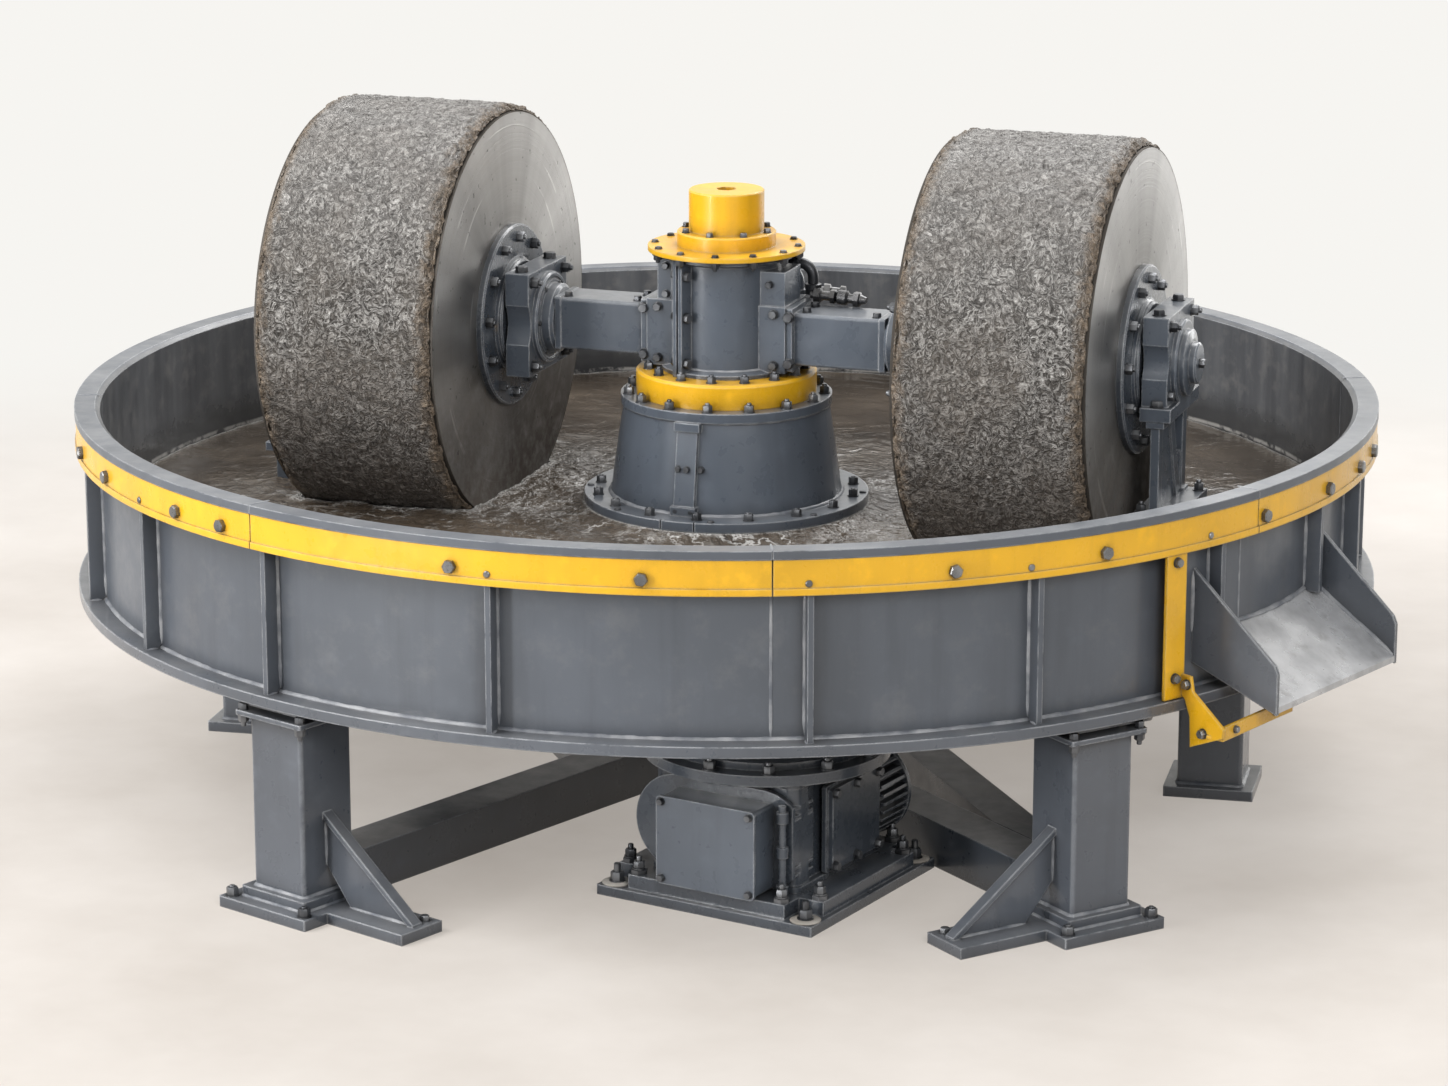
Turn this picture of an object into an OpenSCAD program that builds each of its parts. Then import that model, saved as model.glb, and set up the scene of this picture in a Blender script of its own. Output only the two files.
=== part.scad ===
// Wet pan mill: two stone-tyred rollers on a fixed cross arm in a round steel pan on legs,
// with a centre column, a discharge chute and a drive unit standing under the pan.
// Millimetres, +Z up, origin on the floor under the pan's axis, roller axle along X.
// Azimuths are degrees from -Y (the front) towards +X (the right).

/* [Pan] */
// outer radius of the pan wall
wall_r = 1552; // [1290:2:1864]
// how far the rim bar stands out from the wall
rim_w = 50; // [40:1:60]
// thickness of the rim bar
rim_t = 20; // [12:1:30]
// thickness of the wall plate
wall_t = 12; // [8:1:20]
// height of the wall above the pan floor, rim bar included
wall_h = 436; // [350:2:520]
// how far the floor plate stands out from the wall as the bottom flange
flange_w = 54; // [44:1:64]
// thickness of the floor plate
floor_t = 26; // [16:1:36]
// thickness of the wear plate on the floor
liner_t = 42; // [20:1:60]
// height of the pan's underside above the ground
clear_h = 490; // [400:2:600]
// number of evenly spaced ribs from the chute round the back
back_ribs = 11; // [9:1:13]
// thickness of a rib
rib_t = 14; // [8:1:20]
// corner cut off a rib where two plate welds cross
rib_snip = 10; // [6:1:14]
// gap for the butt weld between two wall segments
weld_gap = 0.6; // [0.4:0.1:1.2]

/* [Guard band] */
// height of the yellow band under the rim bar
band_h = 80; // [60:1:110]
// thickness of the band plate
band_t = 6; // [4:1:10]
// height of the thicker lip along the band's lower edge
lip_h = 16; // [8:1:24]
// how far the lip stands out
lip_out = 3; // [1:0.5:6]

/* [Rollers] */
// radius of the stone tyre
tread_r = 530; // [441:1:636]
// gap between a tyre and the wear plate
tread_gap = 8; // [6:1:12]
// distance from the pan axis to a roller's inner face
roller_in = 575; // [540:1:640]
// width of a roller
roller_w = 470; // [390:2:564]
// how far a tyre stands out beyond its steel side discs
disc_lip = 22; // [16:1:30]
// thickness of a side disc
disc_t = 12; // [8:1:20]
// how far the tyre's shoulders are rounded
shoulder = 26; // [12:1:40]
// radius of the hub flange bolted to each disc
hub_r = 228; // [190:1:260]
// thickness of the hub flange
hub_t = 18; // [12:1:26]
// radius of the hub boss
boss_r = 140; // [120:1:160]
// how far the hub boss stands out from its flange
boss_t = 16; // [10:1:20]
// radius of the axle shaft
shaft_r = 45; // [35:1:55]
// running clearance round the shaft
shaft_clear = 1; // [0.5:0.1:2]
// running gap between a hub boss and its bearing
run_gap = 6; // [5:1:8]

/* [Bearings] */
// side of a square bearing housing
block = 260; // [240:1:280]
// thickness of a bearing housing along the axle
block_t = 62; // [50:1:70]
// depth of the hollow between the bolting ears of a housing
waist = 14; // [8:1:18]
// radius of the round cover on a housing
cover_r = 114; // [104:1:120]
// thickness of the round cover
cover_t = 14; // [10:1:20]
// radius of the seal in the cover
seal_r = 86; // [75:1:95]
// height of an outer housing's underside below the axle
foot_drop = 86; // [80:1:95]
// thickness of an outer housing's foot
foot_h = 33; // [24:1:40]
// length of an outer housing's foot across the axle
foot_l = 292; // [280:2:310]

/* [Cross arm] */
// side of the square arm tube
arm = 130; // [110:1:150]
// wall of the arm tube
arm_wall = 9; // [6:1:12]
// distance from the pan axis to the outer face of an arm saddle
saddle_r = 180; // [170:1:192]
// height of an arm saddle
saddle_h = 166; // [150:1:180]
// width of an arm saddle
saddle_w = 168; // [150:1:190]

/* [Column] */
// radius of the foot flange
foot_r = 354; // [320:1:400]
// thickness of the foot flange
foot_t = 24; // [16:1:30]
// height of the foot flange's underside above the pan floor
foot_rise = 150; // [130:1:170]
// radius of the cone at its foot
cone_r = 288; // [260:1:310]
// radius of the cone at its top
neck_r = 256; // [240:1:270]
// radius of the cone's top flange
crown_r = 262; // [250:1:280]
// thickness of the cone's top flange
crown_t = 24; // [16:1:30]
// radius of the yellow bearing ring
bearing_r = 224; // [205:1:235]
// height of the yellow bearing ring
bearing_h = 62; // [50:1:75]
// radius of the housing drum
drum_r = 140; // [120:1:155]
// height of the housing drum
drum_h = 296; // [270:1:320]
// height of the axle above the drum's foot
axle_rise = 94; // [90:1:110]
// radius of the yellow head disc
head_r = 194; // [175:1:210]
// thickness of the yellow head disc
head_t = 12; // [8:1:16]
// radius of the step on the head disc
step_r = 122; // [105:1:135]
// height of the step
step_h = 36; // [25:1:45]
// radius of the cap
cap_r = 93; // [80:1:100]
// height of the cap
cap_h = 102; // [80:1:120]

/* [Pedestals] */
// length of a pedestal's base plate across the axle
ped_l = 304; // [290:2:330]
// width of a pedestal's base plate along the axle
ped_w = 112; // [100:1:124]
// thickness of a pedestal's base plate
ped_t = 22; // [16:1:28]
// height of a pedestal's base plate above the pan floor
ped_rise = 214; // [190:1:230]
// width of a pedestal's posts and brace across the axle
ped_post = 36; // [30:1:40]
// thickness of a pedestal's posts and brace along the axle
ped_bar = 22; // [18:1:26]
// thickness of a pedestal's web
ped_web = 10; // [8:1:14]
// gap between a hub flange and its pedestal
ped_gap = 12; // [8:1:16]

/* [Chute] */
// azimuth of the discharge chute
chute_az = 71.3; // [66:0.1:76]
// width over the chute's cheeks
chute_w = 538; // [480:2:600]
// how far the chute's lip stands out from the pan wall
chute_out = 203; // [170:1:240]
// thickness of a cheek
cheek_t = 10; // [6:1:14]
// thickness of the chute floor
tray_t = 14; // [8:1:20]
// height of the chute floor above the pan floor, at the wall
tray_rise = 121; // [100:1:140]
// how far the chute floor falls to its lip
tray_fall = 130; // [108:1:150]
// how far a cheek reaches below the chute floor's underside, at the wall
cheek_skirt = 52; // [30:1:70]
// height of a cheek above the chute floor, at the wall
cheek_back = 137; // [115:1:164]
// height of a cheek above the chute floor, at the lip
cheek_front = 88; // [73:1:106]

/* [Legs] */
// distance from the pan wall in to a corner leg's centre
leg_in = 52; // [40:1:64]
// azimuth midway between the front legs
leg_az = 15; // [10:1:20]
// angle between the front legs
leg_spread = 72; // [64:1:80]
// side of a leg post
leg = 160; // [134:1:192]
// side of a leg's base plate
pad = 275; // [240:1:320]
// thickness of a leg's base plate
pad_t = 26; // [18:1:32]
// radius of a post's rounded corners
leg_round = 9; // [5:1:14]
// radius of an anchor bolt hole
anchor_r = 11; // [9:0.5:13]
// reach of a base plate's arm from the leg's centre
reach = 370; // [320:5:420]
// height of a leg gusset above the ground
gusset_z = 240; // [200:5:290]
// distance from the pan wall in to a side leg's centre
side_in = 319; // [300:1:360]
// azimuth of the right-hand side leg
side_az = 96.3; // [92:0.1:100]

/* [Floor beams] */
// width of a floor beam
beam_w = 115; // [90:1:130]
// height of a floor beam
beam_h = 110; // [80:1:130]
// gap left between floor beams where they meet
beam_gap = 2; // [1:0.5:4]

/* [Drive unit] */
// drive centre to the right of the pan axis
drive_x = 410; // [392:1:412]
// drive centre in front of the pan axis
drive_y = -903; // [-910:1:-901]
// turn of the drive unit
drive_turn = -12.5; // [-14:0.5:-11]
// side of the drive's base plate
drive_base = 572; // [544:1:574]
// side of the gear case
drive_case = 380; // [350:1:400]
// thickness of the drive's base plate
base_t = 24; // [16:1:30]
// height of the base plate's raised frame
frame_h = 34; // [26:1:42]
// how far the cooling fins stand out
fin_out = 18; // [10:1:22]
// pitch of the cooling fins
fin_pitch = 20; // [16:1:26]
// height of the gear case's top above the ground
case_top = 318; // [300:1:340]
// width of the terminal box
box_w = 260; // [222:2:268]
// height of the terminal box
box_h = 210; // [180:2:226]
// depth of the terminal box
box_d = 92; // [76:1:104]
// how far the finned barrel stands out in front of the gear case
barrel_front = 16; // [12:1:24]
// how far the finned barrel stands out behind the gear case
barrel_back = 86; // [60:1:110]
// how far the finned barrel stands out at each side of the gear case
barrel_side = 34; // [26:1:44]
// length of the inspection cover
cover_l = 228; // [190:2:240]

/* [Hidden] */
$fn = 96;
seg_count = 8;
front_rib_az = [-56, -39, -21.5, 0, 25.5, 44.5];
back_rib_az = 90;
rib_pitch = (360 + front_rib_az[0] - back_rib_az) / back_ribs;
rib_az = concat(front_rib_az, [for (k = [0 : back_ribs - 1]) back_rib_az + k * rib_pitch]);
rim_r = wall_r + rim_w;
flange_r = wall_r + flange_w;
floor_top = clear_h + floor_t;
liner_top = floor_top + liner_t;
rim_z = floor_top + wall_h;
band_r = rim_r - 2;
rib_out = band_r - band_t - 2;
band_low = rim_z - rim_t - band_h;
axle_z = liner_top + tread_gap + tread_r;
disc_r = tread_r - disc_lip;
roller_out = roller_in + roller_w;
foot_z = floor_top + foot_rise;
foot_top = foot_z + foot_t;
drum_z = axle_z - axle_rise;
bearing_z = drum_z - bearing_h;
cone_top = bearing_z;
cone_h = cone_top - foot_top;
head_z = drum_z + drum_h;
bore_r = shaft_r + shaft_clear;
in_face = roller_in - hub_t - boss_t - run_gap;
out_face = roller_out + hub_t + boss_t + run_gap;
seal_step = 30;
arm_out = in_face - block_t - cover_t - seal_step;
ped_z = floor_top + ped_rise;
ped_in = roller_out + hub_t + ped_gap;
chute_r = wall_r + chute_out;
chute_rib_w = chute_w - 114;
tray_back_z = floor_top + tray_rise;
tray_front_z = tray_back_z - tray_fall;
cheek_back_z = tray_back_z + cheek_back;
cheek_front_z = tray_front_z + cheek_front;
leg_r = wall_r - leg_in;
side_r = wall_r - side_in;
drive_foot = base_t + frame_h;
box_x = 14;
cover_y = 38;

// ---- helpers ----

// turn a thing drawn facing -Y to an azimuth
module at(az) { rotate([0, 0, az]) children(); }

// a ring or disc from a half profile, kept to an arc that starts at an azimuth
module arc(az, sweep) { rotate([0, 0, az - 90]) rotate_extrude(angle = sweep) children(); }

// a box centred in X and Y
module block3(x, y, z, h) { translate([-x / 2, -y / 2, z]) cube([x, y, h]); }

// a rectangle with round corners, centred
module round_rect(x, y, r) {
    square([x - 2 * r, y], center = true);
    square([x, y - 2 * r], center = true);
    for (i = [-1, 1]) for (j = [-1, 1]) translate([i * (x / 2 - r), j * (y / 2 - r)]) circle(r = r);
}

// an upright bar with round corners, centred in X and Y
module round_bar(x, y, z, h, r) { translate([0, 0, z]) linear_extrude(h) round_rect(x, y, r); }

// a profile of (distance from the pan axis, height), drawn facing -Y, as a plate t thick centred on X
module side_plate(t) { translate([t / 2, 0, 0]) rotate([90, 0, -90]) linear_extrude(t) children(); }

// lay a thing drawn along +Z on the axle, at a distance along X
module along_x(s) { translate([s, 0, axle_z]) rotate([0, 90, 0]) children(); }

// a mirrored copy for the left-hand side
module left_side() { mirror([1, 0, 0]) children(); }

// ---- pan ----

module pan_floor() {
    color("slategray") translate([0, 0, clear_h]) cylinder(r = flange_r, h = floor_t);
}

module floor_liner() {
    color("dimgray") translate([0, 0, floor_top]) difference() {
        cylinder(r = wall_r - wall_t - 4, h = liner_t);
        translate([0, 0, -1]) cylinder(r = cone_r + 4, h = liner_t + 2);
    }
}

// one outside rib, standing on z0, its inner corners cut off to clear the plate welds
module rib(az, z0) {
    top = rim_z - rim_t;
    root = wall_r - wall_t / 2;
    snip = rib_snip + wall_t / 2;
    at(az) side_plate(rib_t) polygon([[root, z0 + snip], [wall_r + rib_snip, z0], [rib_out, z0],
        [rib_out, top], [wall_r + rib_snip, top], [root, top - snip]]);
}

module wall_segment(i) {
    sweep = 360 / seg_count;
    az0 = (i - 0.5) * sweep;
    gap_az = weld_gap / wall_r * 90 / PI;
    chute_rib_az = asin(chute_rib_w / 2 / wall_r);
    chute_half = asin(chute_w / 2 / wall_r);
    color("slategray") union() {
        arc(az0 + gap_az, sweep - 2 * gap_az) polygon([[wall_r - wall_t, floor_top], [wall_r, floor_top],
            [wall_r, rim_z - rim_t], [rim_r, rim_z - rim_t], [rim_r, rim_z],
            [wall_r, rim_z], [wall_r - wall_t, rim_z - 10]]);
        for (az = rib_az) {
            inside = (az - az0 + 360) % 360 < sweep;
            if (inside && abs(az - chute_az) > chute_half + 4) rib(az, floor_top);
        }
        for (side = [-1, 1]) {
            az = chute_az + side * chute_rib_az;
            if (az > az0 && az < az0 + sweep) rib(az, tray_back_z + 3);
        }
    }
}

module guard_band() {
    sweep = 360 / seg_count;
    color("gold") for (i = [0 : seg_count - 1]) {
        arc((i - 0.5) * sweep + 0.05, sweep - 0.1) polygon([
            [band_r - band_t, band_low], [band_r + lip_out, band_low],
            [band_r + lip_out, band_low + lip_h], [band_r, band_low + lip_h],
            [band_r, rim_z - rim_t], [band_r - band_t, rim_z - rim_t]]);
    }
}

// ---- column ----

// a bolt-on segment of the foot flange ends at each groove, and a strip covers the joint above it
module column_cone() {
    strip_az = -2;
    strip_w = 54;
    strip_t = 8;
    clamp_w = strip_w + 12;
    groove = 3;
    slope = (cone_r - neck_r) / (cone_h - crown_t);
    strip_top = cone_top - crown_t;
    color("slategray") difference() {
        union() {
            rotate_extrude() polygon([[0, floor_top], [cone_r, floor_top], [cone_r, foot_z],
                [foot_r, foot_z], [foot_r, foot_top], [cone_r, foot_top], [neck_r, cone_top - crown_t],
                [crown_r, cone_top - crown_t], [crown_r, cone_top], [0, cone_top]]);
            at(strip_az) side_plate(strip_w) polygon([[neck_r - 30, foot_top], [cone_r + strip_t, foot_top],
                [neck_r + strip_t, strip_top], [neck_r - 30, strip_top]]);
            for (z = [foot_top, strip_top - 22]) {
                at(strip_az) side_plate(clamp_w) polygon([[neck_r - 30, z],
                    [cone_r - slope * (z - foot_top) + strip_t + 5, z],
                    [cone_r - slope * (z - foot_top) + strip_t + 5, z + 22], [neck_r - 30, z + 22]]);
            }
        }
        for (az = [strip_az - 6, strip_az + 8]) {
            at(az) translate([-groove / 2, -foot_r - 1, foot_z - 1]) cube([groove, 14, foot_t + 2]);
        }
    }
}

module bearing_ring() {
    lip = 6;
    color("gold") rotate_extrude() polygon([[0, bearing_z], [bearing_r, bearing_z], [bearing_r, drum_z - lip],
        [bearing_r - lip, drum_z], [0, drum_z]]);
}

// one half of the split flange pair that runs down the drum
module split_flange(side) {
    flange_t = 12;
    flange_w = 34;
    gap = 6;
    translate([side * (flange_t + gap) / 2 - flange_t / 2, -drum_r - flange_w, drum_z])
        cube([flange_t, flange_w + 20, drum_h]);
}

// box on the drum's side that an arm bolts against, with a raised cover above it
module saddle(cover_r, cover_top) {
    cover_z = axle_z + saddle_h / 2 - 10;
    cover_w = 120;
    translate([0, -saddle_w / 2, axle_z - saddle_h / 2]) cube([saddle_r, saddle_w, saddle_h]);
    translate([0, -cover_w / 2 - 20, cover_z]) cube([cover_r, cover_w, cover_top - cover_z]);
}

// the drum that carries the two arms, split and bolted along two flanges
module column_housing() {
    split_az = -25;
    color("slategray") difference() {
        union() {
            rotate_extrude() polygon([[0, drum_z], [drum_r + 22, drum_z], [drum_r + 22, drum_z + 10],
                [drum_r, drum_z + 18], [drum_r, head_z - 22], [drum_r + 30, head_z - 12],
                [drum_r + 30, head_z], [0, head_z]]);
            for (turn = [0, 180]) at(split_az + turn) for (side = [-1, 1]) split_flange(side);
            saddle(drum_r + 38, head_z - 34);
            left_side() saddle(drum_r + 12, head_z - 6);
        }
        grease_pipe_solid(0.5);
    }
}

module column_head() {
    key_r = 26;
    key_depth = 12;
    cap_top = head_t + step_h + cap_h;
    edge = 3;
    color("gold") translate([0, 0, head_z]) difference() {
        rotate_extrude() polygon([[0, 0], [head_r, 0], [head_r, head_t], [step_r, head_t],
            [step_r, head_t + step_h - edge], [step_r - edge, head_t + step_h], [cap_r, head_t + step_h],
            [cap_r, cap_top - edge], [cap_r - edge, cap_top], [0, cap_top]]);
        translate([0, 0, cap_top - key_depth]) cylinder(r = key_r, h = key_depth + 1, $fn = 6);
    }
}

// lubricating pipe out of the drum, round a bend and down behind the right-hand arm
module grease_pipe_solid(grow) {
    pipe_r = 14 + grow;
    bend = 44;
    pipe_az = 135;
    reach_out = 200;
    top_z = head_z - 60;
    drop = 30;
    at(pipe_az) union() {
        translate([0, -drum_r + 12, top_z]) rotate([90, 0, 0]) cylinder(r = pipe_r, h = reach_out - bend - drum_r + 12);
        translate([0, -reach_out + bend, top_z - bend]) rotate([90, 0, -90])
            rotate_extrude(angle = 90) translate([bend, 0]) circle(r = pipe_r);
        translate([0, -reach_out, top_z - bend - drop]) cylinder(r = pipe_r, h = drop);
        translate([0, -reach_out, top_z - bend - drop]) cylinder(r = pipe_r + 6, h = 16);
    }
}

module grease_pipe() { color("slategray") grease_pipe_solid(0); }

// ---- cross arm and bearings ----

// square tube between end plates
module arm_right() {
    end_t = 16;
    end_w = arm + 28;
    length = arm_out - saddle_r;
    color("slategray") translate([saddle_r, 0, axle_z]) rotate([90, 0, 90]) union() {
        linear_extrude(length) difference() {
            round_rect(arm, arm, 8);
            square(arm - 2 * arm_wall, center = true);
        }
        linear_extrude(end_t) round_rect(end_w, end_w, 4);
        translate([0, 0, length - end_t]) linear_extrude(end_t) round_rect(arm + 4, arm + 4, 6);
    }
}

// outline of a bearing housing across the axle: bolting ears at the corners, hollow between them
module ear_outline(up, down) {
    ear = block / 4;
    for_waist = up + down - 2 * ear;
    difference() {
        translate([-block / 2, -down]) square([block, up + down]);
        for (side = [-1, 1]) {
            translate([side * (block / 2 + for_waist * 0.62), (up - down) / 2]) circle(r = for_waist * 0.62 + waist);
        }
    }
}

// lay an outline drawn as (Y, Z about the axle) along +X from s
module outline_x(s, t) { translate([s, 0, axle_z]) rotate([90, 0, 90]) linear_extrude(t) children(); }

// housing fixed to an arm's end, with a round cover, a seal and a stub that fits the arm
module inner_bearing_right() {
    groove = 3;
    color("slategray") difference() {
        union() {
            outline_x(in_face - block_t, block_t) ear_outline(block / 2, block / 2);
            along_x(in_face - block_t - cover_t) rotate_extrude() polygon([[0, 0], [cover_r - 4, 0], [cover_r, 4],
                [cover_r, cover_t + 1], [0, cover_t + 1]]);
            along_x(arm_out) rotate_extrude() polygon([[0, 0], [seal_r - 8, 0], [seal_r, 8], [seal_r, seal_step + 1],
                [0, seal_step + 1]]);
        }
        along_x(arm_out + 8) cylinder(r = bore_r, h = in_face - arm_out);
        along_x(in_face - block_t - cover_t - 1) difference() {
            cylinder(r = cover_r - 12, h = groove + 1);
            translate([0, 0, -1]) cylinder(r = cover_r - 18, h = groove + 3);
        }
    }
}

// housing on a pedestal, with its foot, a round cover and an end cap
module outer_bearing_right() {
    cap_r1 = seal_r - 6;
    cap_r2 = 50;
    color("slategray") difference() {
        union() {
            outline_x(out_face, block_t) ear_outline(block / 2, foot_drop + 1);
            translate([out_face, -foot_l / 2, axle_z - foot_drop - foot_h]) cube([block_t + cover_t, foot_l, foot_h]);
            along_x(out_face + block_t - 1) rotate_extrude() polygon([[0, 0], [cover_r - 10, 0],
                [cover_r - 10, cover_t - 3], [cover_r - 14, cover_t + 1], [cap_r1, cover_t + 1],
                [cap_r1, cover_t + 13], [cap_r2 + 8, cover_t + 17], [cap_r2, cover_t + 17],
                [cap_r2, cover_t + 31], [cap_r2 - 5, cover_t + 35], [0, cover_t + 35]]);
        }
        along_x(out_face - 1) cylinder(r = bore_r, h = block_t + cover_t + 1);
    }
}

// two posts with a notched web and a leaning brace, on a base plate that stands on a plinth in the pan
module pedestal_right() {
    top_z = axle_z - foot_drop - foot_h;
    base_top = ped_z + ped_t;
    mid = out_face + (block_t + cover_t) / 2 - ped_in;
    post_y = foot_l / 2 - 24;
    lean = 86;
    notch = base_top + 0.45 * (top_z - base_top);
    pad_side = 44;
    color("slategray") translate([ped_in, 0, 0]) union() {
        translate([0, -ped_l / 2, ped_z]) cube([ped_w, ped_l, ped_t]);
        translate([16, -ped_l / 2 + 30, liner_top]) cube([ped_w - 32, ped_l - 60, ped_z - liner_top]);
        for (y = [-post_y, post_y]) {
            translate([mid, y, 0]) block3(ped_bar, ped_post, base_top, top_z - base_top);
            translate([mid, y, 0]) block3(pad_side, pad_side, top_z - 16, 16);
            translate([mid, y, 0]) block3(ped_bar + 14, ped_post + 12, base_top, 8);
        }
        translate([mid - ped_web / 2, 0, 0]) rotate([90, 0, 90]) linear_extrude(ped_web) polygon([
            [-post_y, base_top], [post_y, base_top], [post_y, notch], [post_y - lean * 0.6, notch],
            [-12, top_z - 6], [-post_y, top_z - 6]]);
        translate([mid - ped_bar / 2, 0, 0]) rotate([90, 0, 90]) linear_extrude(ped_bar) polygon([
            [lean - ped_post, base_top], [lean + 4, base_top], [ped_post - 38, top_z], [-38, top_z]]);
    }
}

// ---- rollers ----

// stone tyre with shoulders broken by wear
module tread_right() {
    w = roller_w;
    c = shoulder;
    side = disc_t - 2;
    color("tan") along_x(roller_in) rotate_extrude() polygon([[hub_r - 120, disc_t], [disc_r, disc_t],
        [disc_r + 1, 2], [tread_r - c * 0.45, 0.12 * c + 4], [tread_r - c * 0.12, 0.45 * c + 4],
        [tread_r, c + 4], [tread_r, w - c - 4], [tread_r - c * 0.12, w - 0.45 * c - 4],
        [tread_r - c * 0.45, w - 0.12 * c - 4], [disc_r + 1, w - 2], [disc_r, w - disc_t],
        [hub_r - 120, w - disc_t]]);
}

module disc(s) {
    color("silver") along_x(s) difference() {
        cylinder(r = disc_r, h = disc_t);
        translate([0, 0, -1]) cylinder(r = shaft_r + 20, h = disc_t + 2);
    }
}

// hub flange and boss, drawn outwards from a disc's face
module hub() {
    edge = 4;
    rotate_extrude() polygon([[0, 0], [hub_r, 0], [hub_r, hub_t - edge], [hub_r - edge, hub_t],
        [boss_r + 8, hub_t], [boss_r, hub_t + 6], [boss_r, hub_t + boss_t - edge],
        [boss_r - edge, hub_t + boss_t], [0, hub_t + boss_t]]);
}

module axle_right() {
    end_gap = 4;
    color("slategray") union() {
        along_x(arm_out + 8 + end_gap) cylinder(r = shaft_r,
            h = out_face + block_t + cover_t - arm_out - 8 - 2 * end_gap);
        along_x(roller_in) mirror([0, 0, 1]) hub();
        along_x(roller_out) hub();
    }
}

// ---- chute ----

// keep a thing outside the pan wall
module off_wall() {
    difference() {
        children();
        translate([0, 0, clear_h - 200]) cylinder(r = wall_r, h = 900, $fn = 480);
    }
}

// profile of a tray or cheek that falls from the wall to the lip: heights at the wall and at the lip
module fall(back_top, front_top, back_low, front_low) {
    back = wall_r - 40;
    top = (back_top - front_top) / chute_out * 40;
    low = (back_low - front_low) / chute_out * 40;
    polygon([[back, back_top + top], [chute_r, front_top], [chute_r, front_low], [back, back_low + low]]);
}

module chute_floor() {
    color("silver") at(chute_az) off_wall() side_plate(chute_w - 2 * cheek_t)
        fall(tray_back_z, tray_front_z, tray_back_z - tray_t, tray_front_z - tray_t);
}

// a cheek plate, with a small blunt corner at the lip
module cheek(side) {
    blunt = 14;
    under = tray_t + 4;
    color("slategray") at(chute_az) off_wall() translate([side * (chute_w - cheek_t) / 2, 0, 0]) difference() {
        side_plate(cheek_t)
            fall(cheek_back_z, cheek_front_z, tray_back_z - under - cheek_skirt, tray_front_z - under);
        side_plate(cheek_t + 2) polygon([[chute_r + 1, cheek_front_z - blunt], [chute_r + 1, cheek_front_z + 20],
            [chute_r - blunt, cheek_front_z + 20]]);
    }
}

// yellow angle strap on the wall, whose side turns outwards below the flange to carry a bearer under the tray
module chute_brace() {
    strap_w = 60;
    strap_t = 8;
    strap_d = 38;
    strap_az = chute_az - asin((chute_w / 2 + 98) / wall_r);
    strap_face = flange_r - 6;
    under = tray_front_z - tray_t - 4;
    end_r = strap_face + 136;
    bear_w = 44;
    bear_y = end_r * cos(chute_az - strap_az);
    bear_x = strap_w / 2 - strap_t - end_r * sin(chute_az - strap_az) + 8;
    color("gold") union() {
        at(strap_az) {
            translate([-strap_w / 2, -strap_face, floor_top + 2]) cube([strap_w, strap_t, band_low - floor_top - 2]);
            translate([strap_w / 2 - strap_t, -strap_face, floor_top + 2])
                cube([strap_t, strap_d, band_low - floor_top - 2]);
            translate([(strap_w - strap_t) / 2, 0, 0]) side_plate(strap_t) polygon([
                [strap_face - 10, floor_top + 56], [strap_face + 28, floor_top + 56],
                [strap_face + 36, floor_top + 22], [end_r, under - 16], [end_r - 4, under - 37],
                [strap_face + 32, under - 80], [strap_face + 28, under - 10], [flange_r + 5, floor_top + 2],
                [strap_face - 10, floor_top + 12]]);
        }
        at(chute_az) translate([bear_x, -bear_y, under - 46]) {
            cube([-bear_x - chute_w * 0.15, bear_w, strap_t]);
            cube([-bear_x - chute_w * 0.15, strap_t, 32]);
        }
    }
}

// ---- legs and floor beams ----

// web and sloping flange that brace a leg, drawn towards +X
module gusset() {
    web_t = 12;
    cap_w = 30;
    face = leg / 2 - 1;
    toe = reach - 26;
    translate([0, web_t / 2, 0]) rotate([90, 0, 0]) linear_extrude(web_t)
        polygon([[face, gusset_z - 12], [face, pad_t + 0.42 * (gusset_z - pad_t)],
            [face + 0.28 * (toe - face), pad_t], [toe, pad_t], [toe, pad_t + 8]]);
    translate([0, cap_w / 2, 0]) rotate([90, 0, 0]) linear_extrude(cap_w)
        polygon([[face, gusset_z], [face, gusset_z - 16], [toe - 4, pad_t], [toe + 12, pad_t],
            [toe + 12, pad_t + 5]]);
}

// a corner leg drawn facing -Y, its base arm and gusset reaching towards side * X
module corner_leg(az, side) {
    post_top = clear_h - 34;
    hole = pad / 2 - 22;
    arm_w = 130;
    color("slategray") at(az) translate([0, -leg_r, 0]) union() {
        difference() {
            union() {
                round_bar(pad, pad, 0, pad_t, 3);
                translate([side * reach / 2, 0, 0]) block3(reach, arm_w, 0, pad_t);
            }
            for (x = [-1, 1]) for (y = [-1, 1]) {
                translate([x * hole, y * hole, -1]) cylinder(r = anchor_r, h = pad_t + 2);
            }
        }
        round_bar(leg + 42, leg + 42, pad_t, 24, 6);
        round_bar(leg, leg, pad_t, post_top - pad_t, leg_round);
        round_bar(leg + 46, leg + 46, post_top, 12, 4);
        round_bar(leg - 40, leg - 40, post_top, clear_h - post_top, leg_round);
        round_bar(leg + 10, leg + 10, clear_h - 12, 12, 4);
        scale([side, 1, 1]) gusset();
    }
}

// a plain leg under the pan floor
module side_leg(az) {
    post_top = clear_h - 12;
    foot = leg + 60;
    at(az) translate([0, -side_r, 0]) union() {
        round_bar(foot, foot, 0, pad_t, 3);
        round_bar(leg, leg, pad_t, post_top - pad_t, leg_round);
        round_bar(leg + 46, leg + 46, post_top, clear_h - post_top, 4);
    }
}

module side_legs() {
    color("slategray") for (turn = [0, 180]) side_leg(side_az + turn);
}

// a box beam on the floor between two distances along an azimuth
module beam(az, r0, r1, grow) {
    at(az) translate([0, -(r0 + r1) / 2, 0]) block3(beam_w + 2 * grow, r1 - r0, -grow, beam_h + 2 * grow);
}

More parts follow.
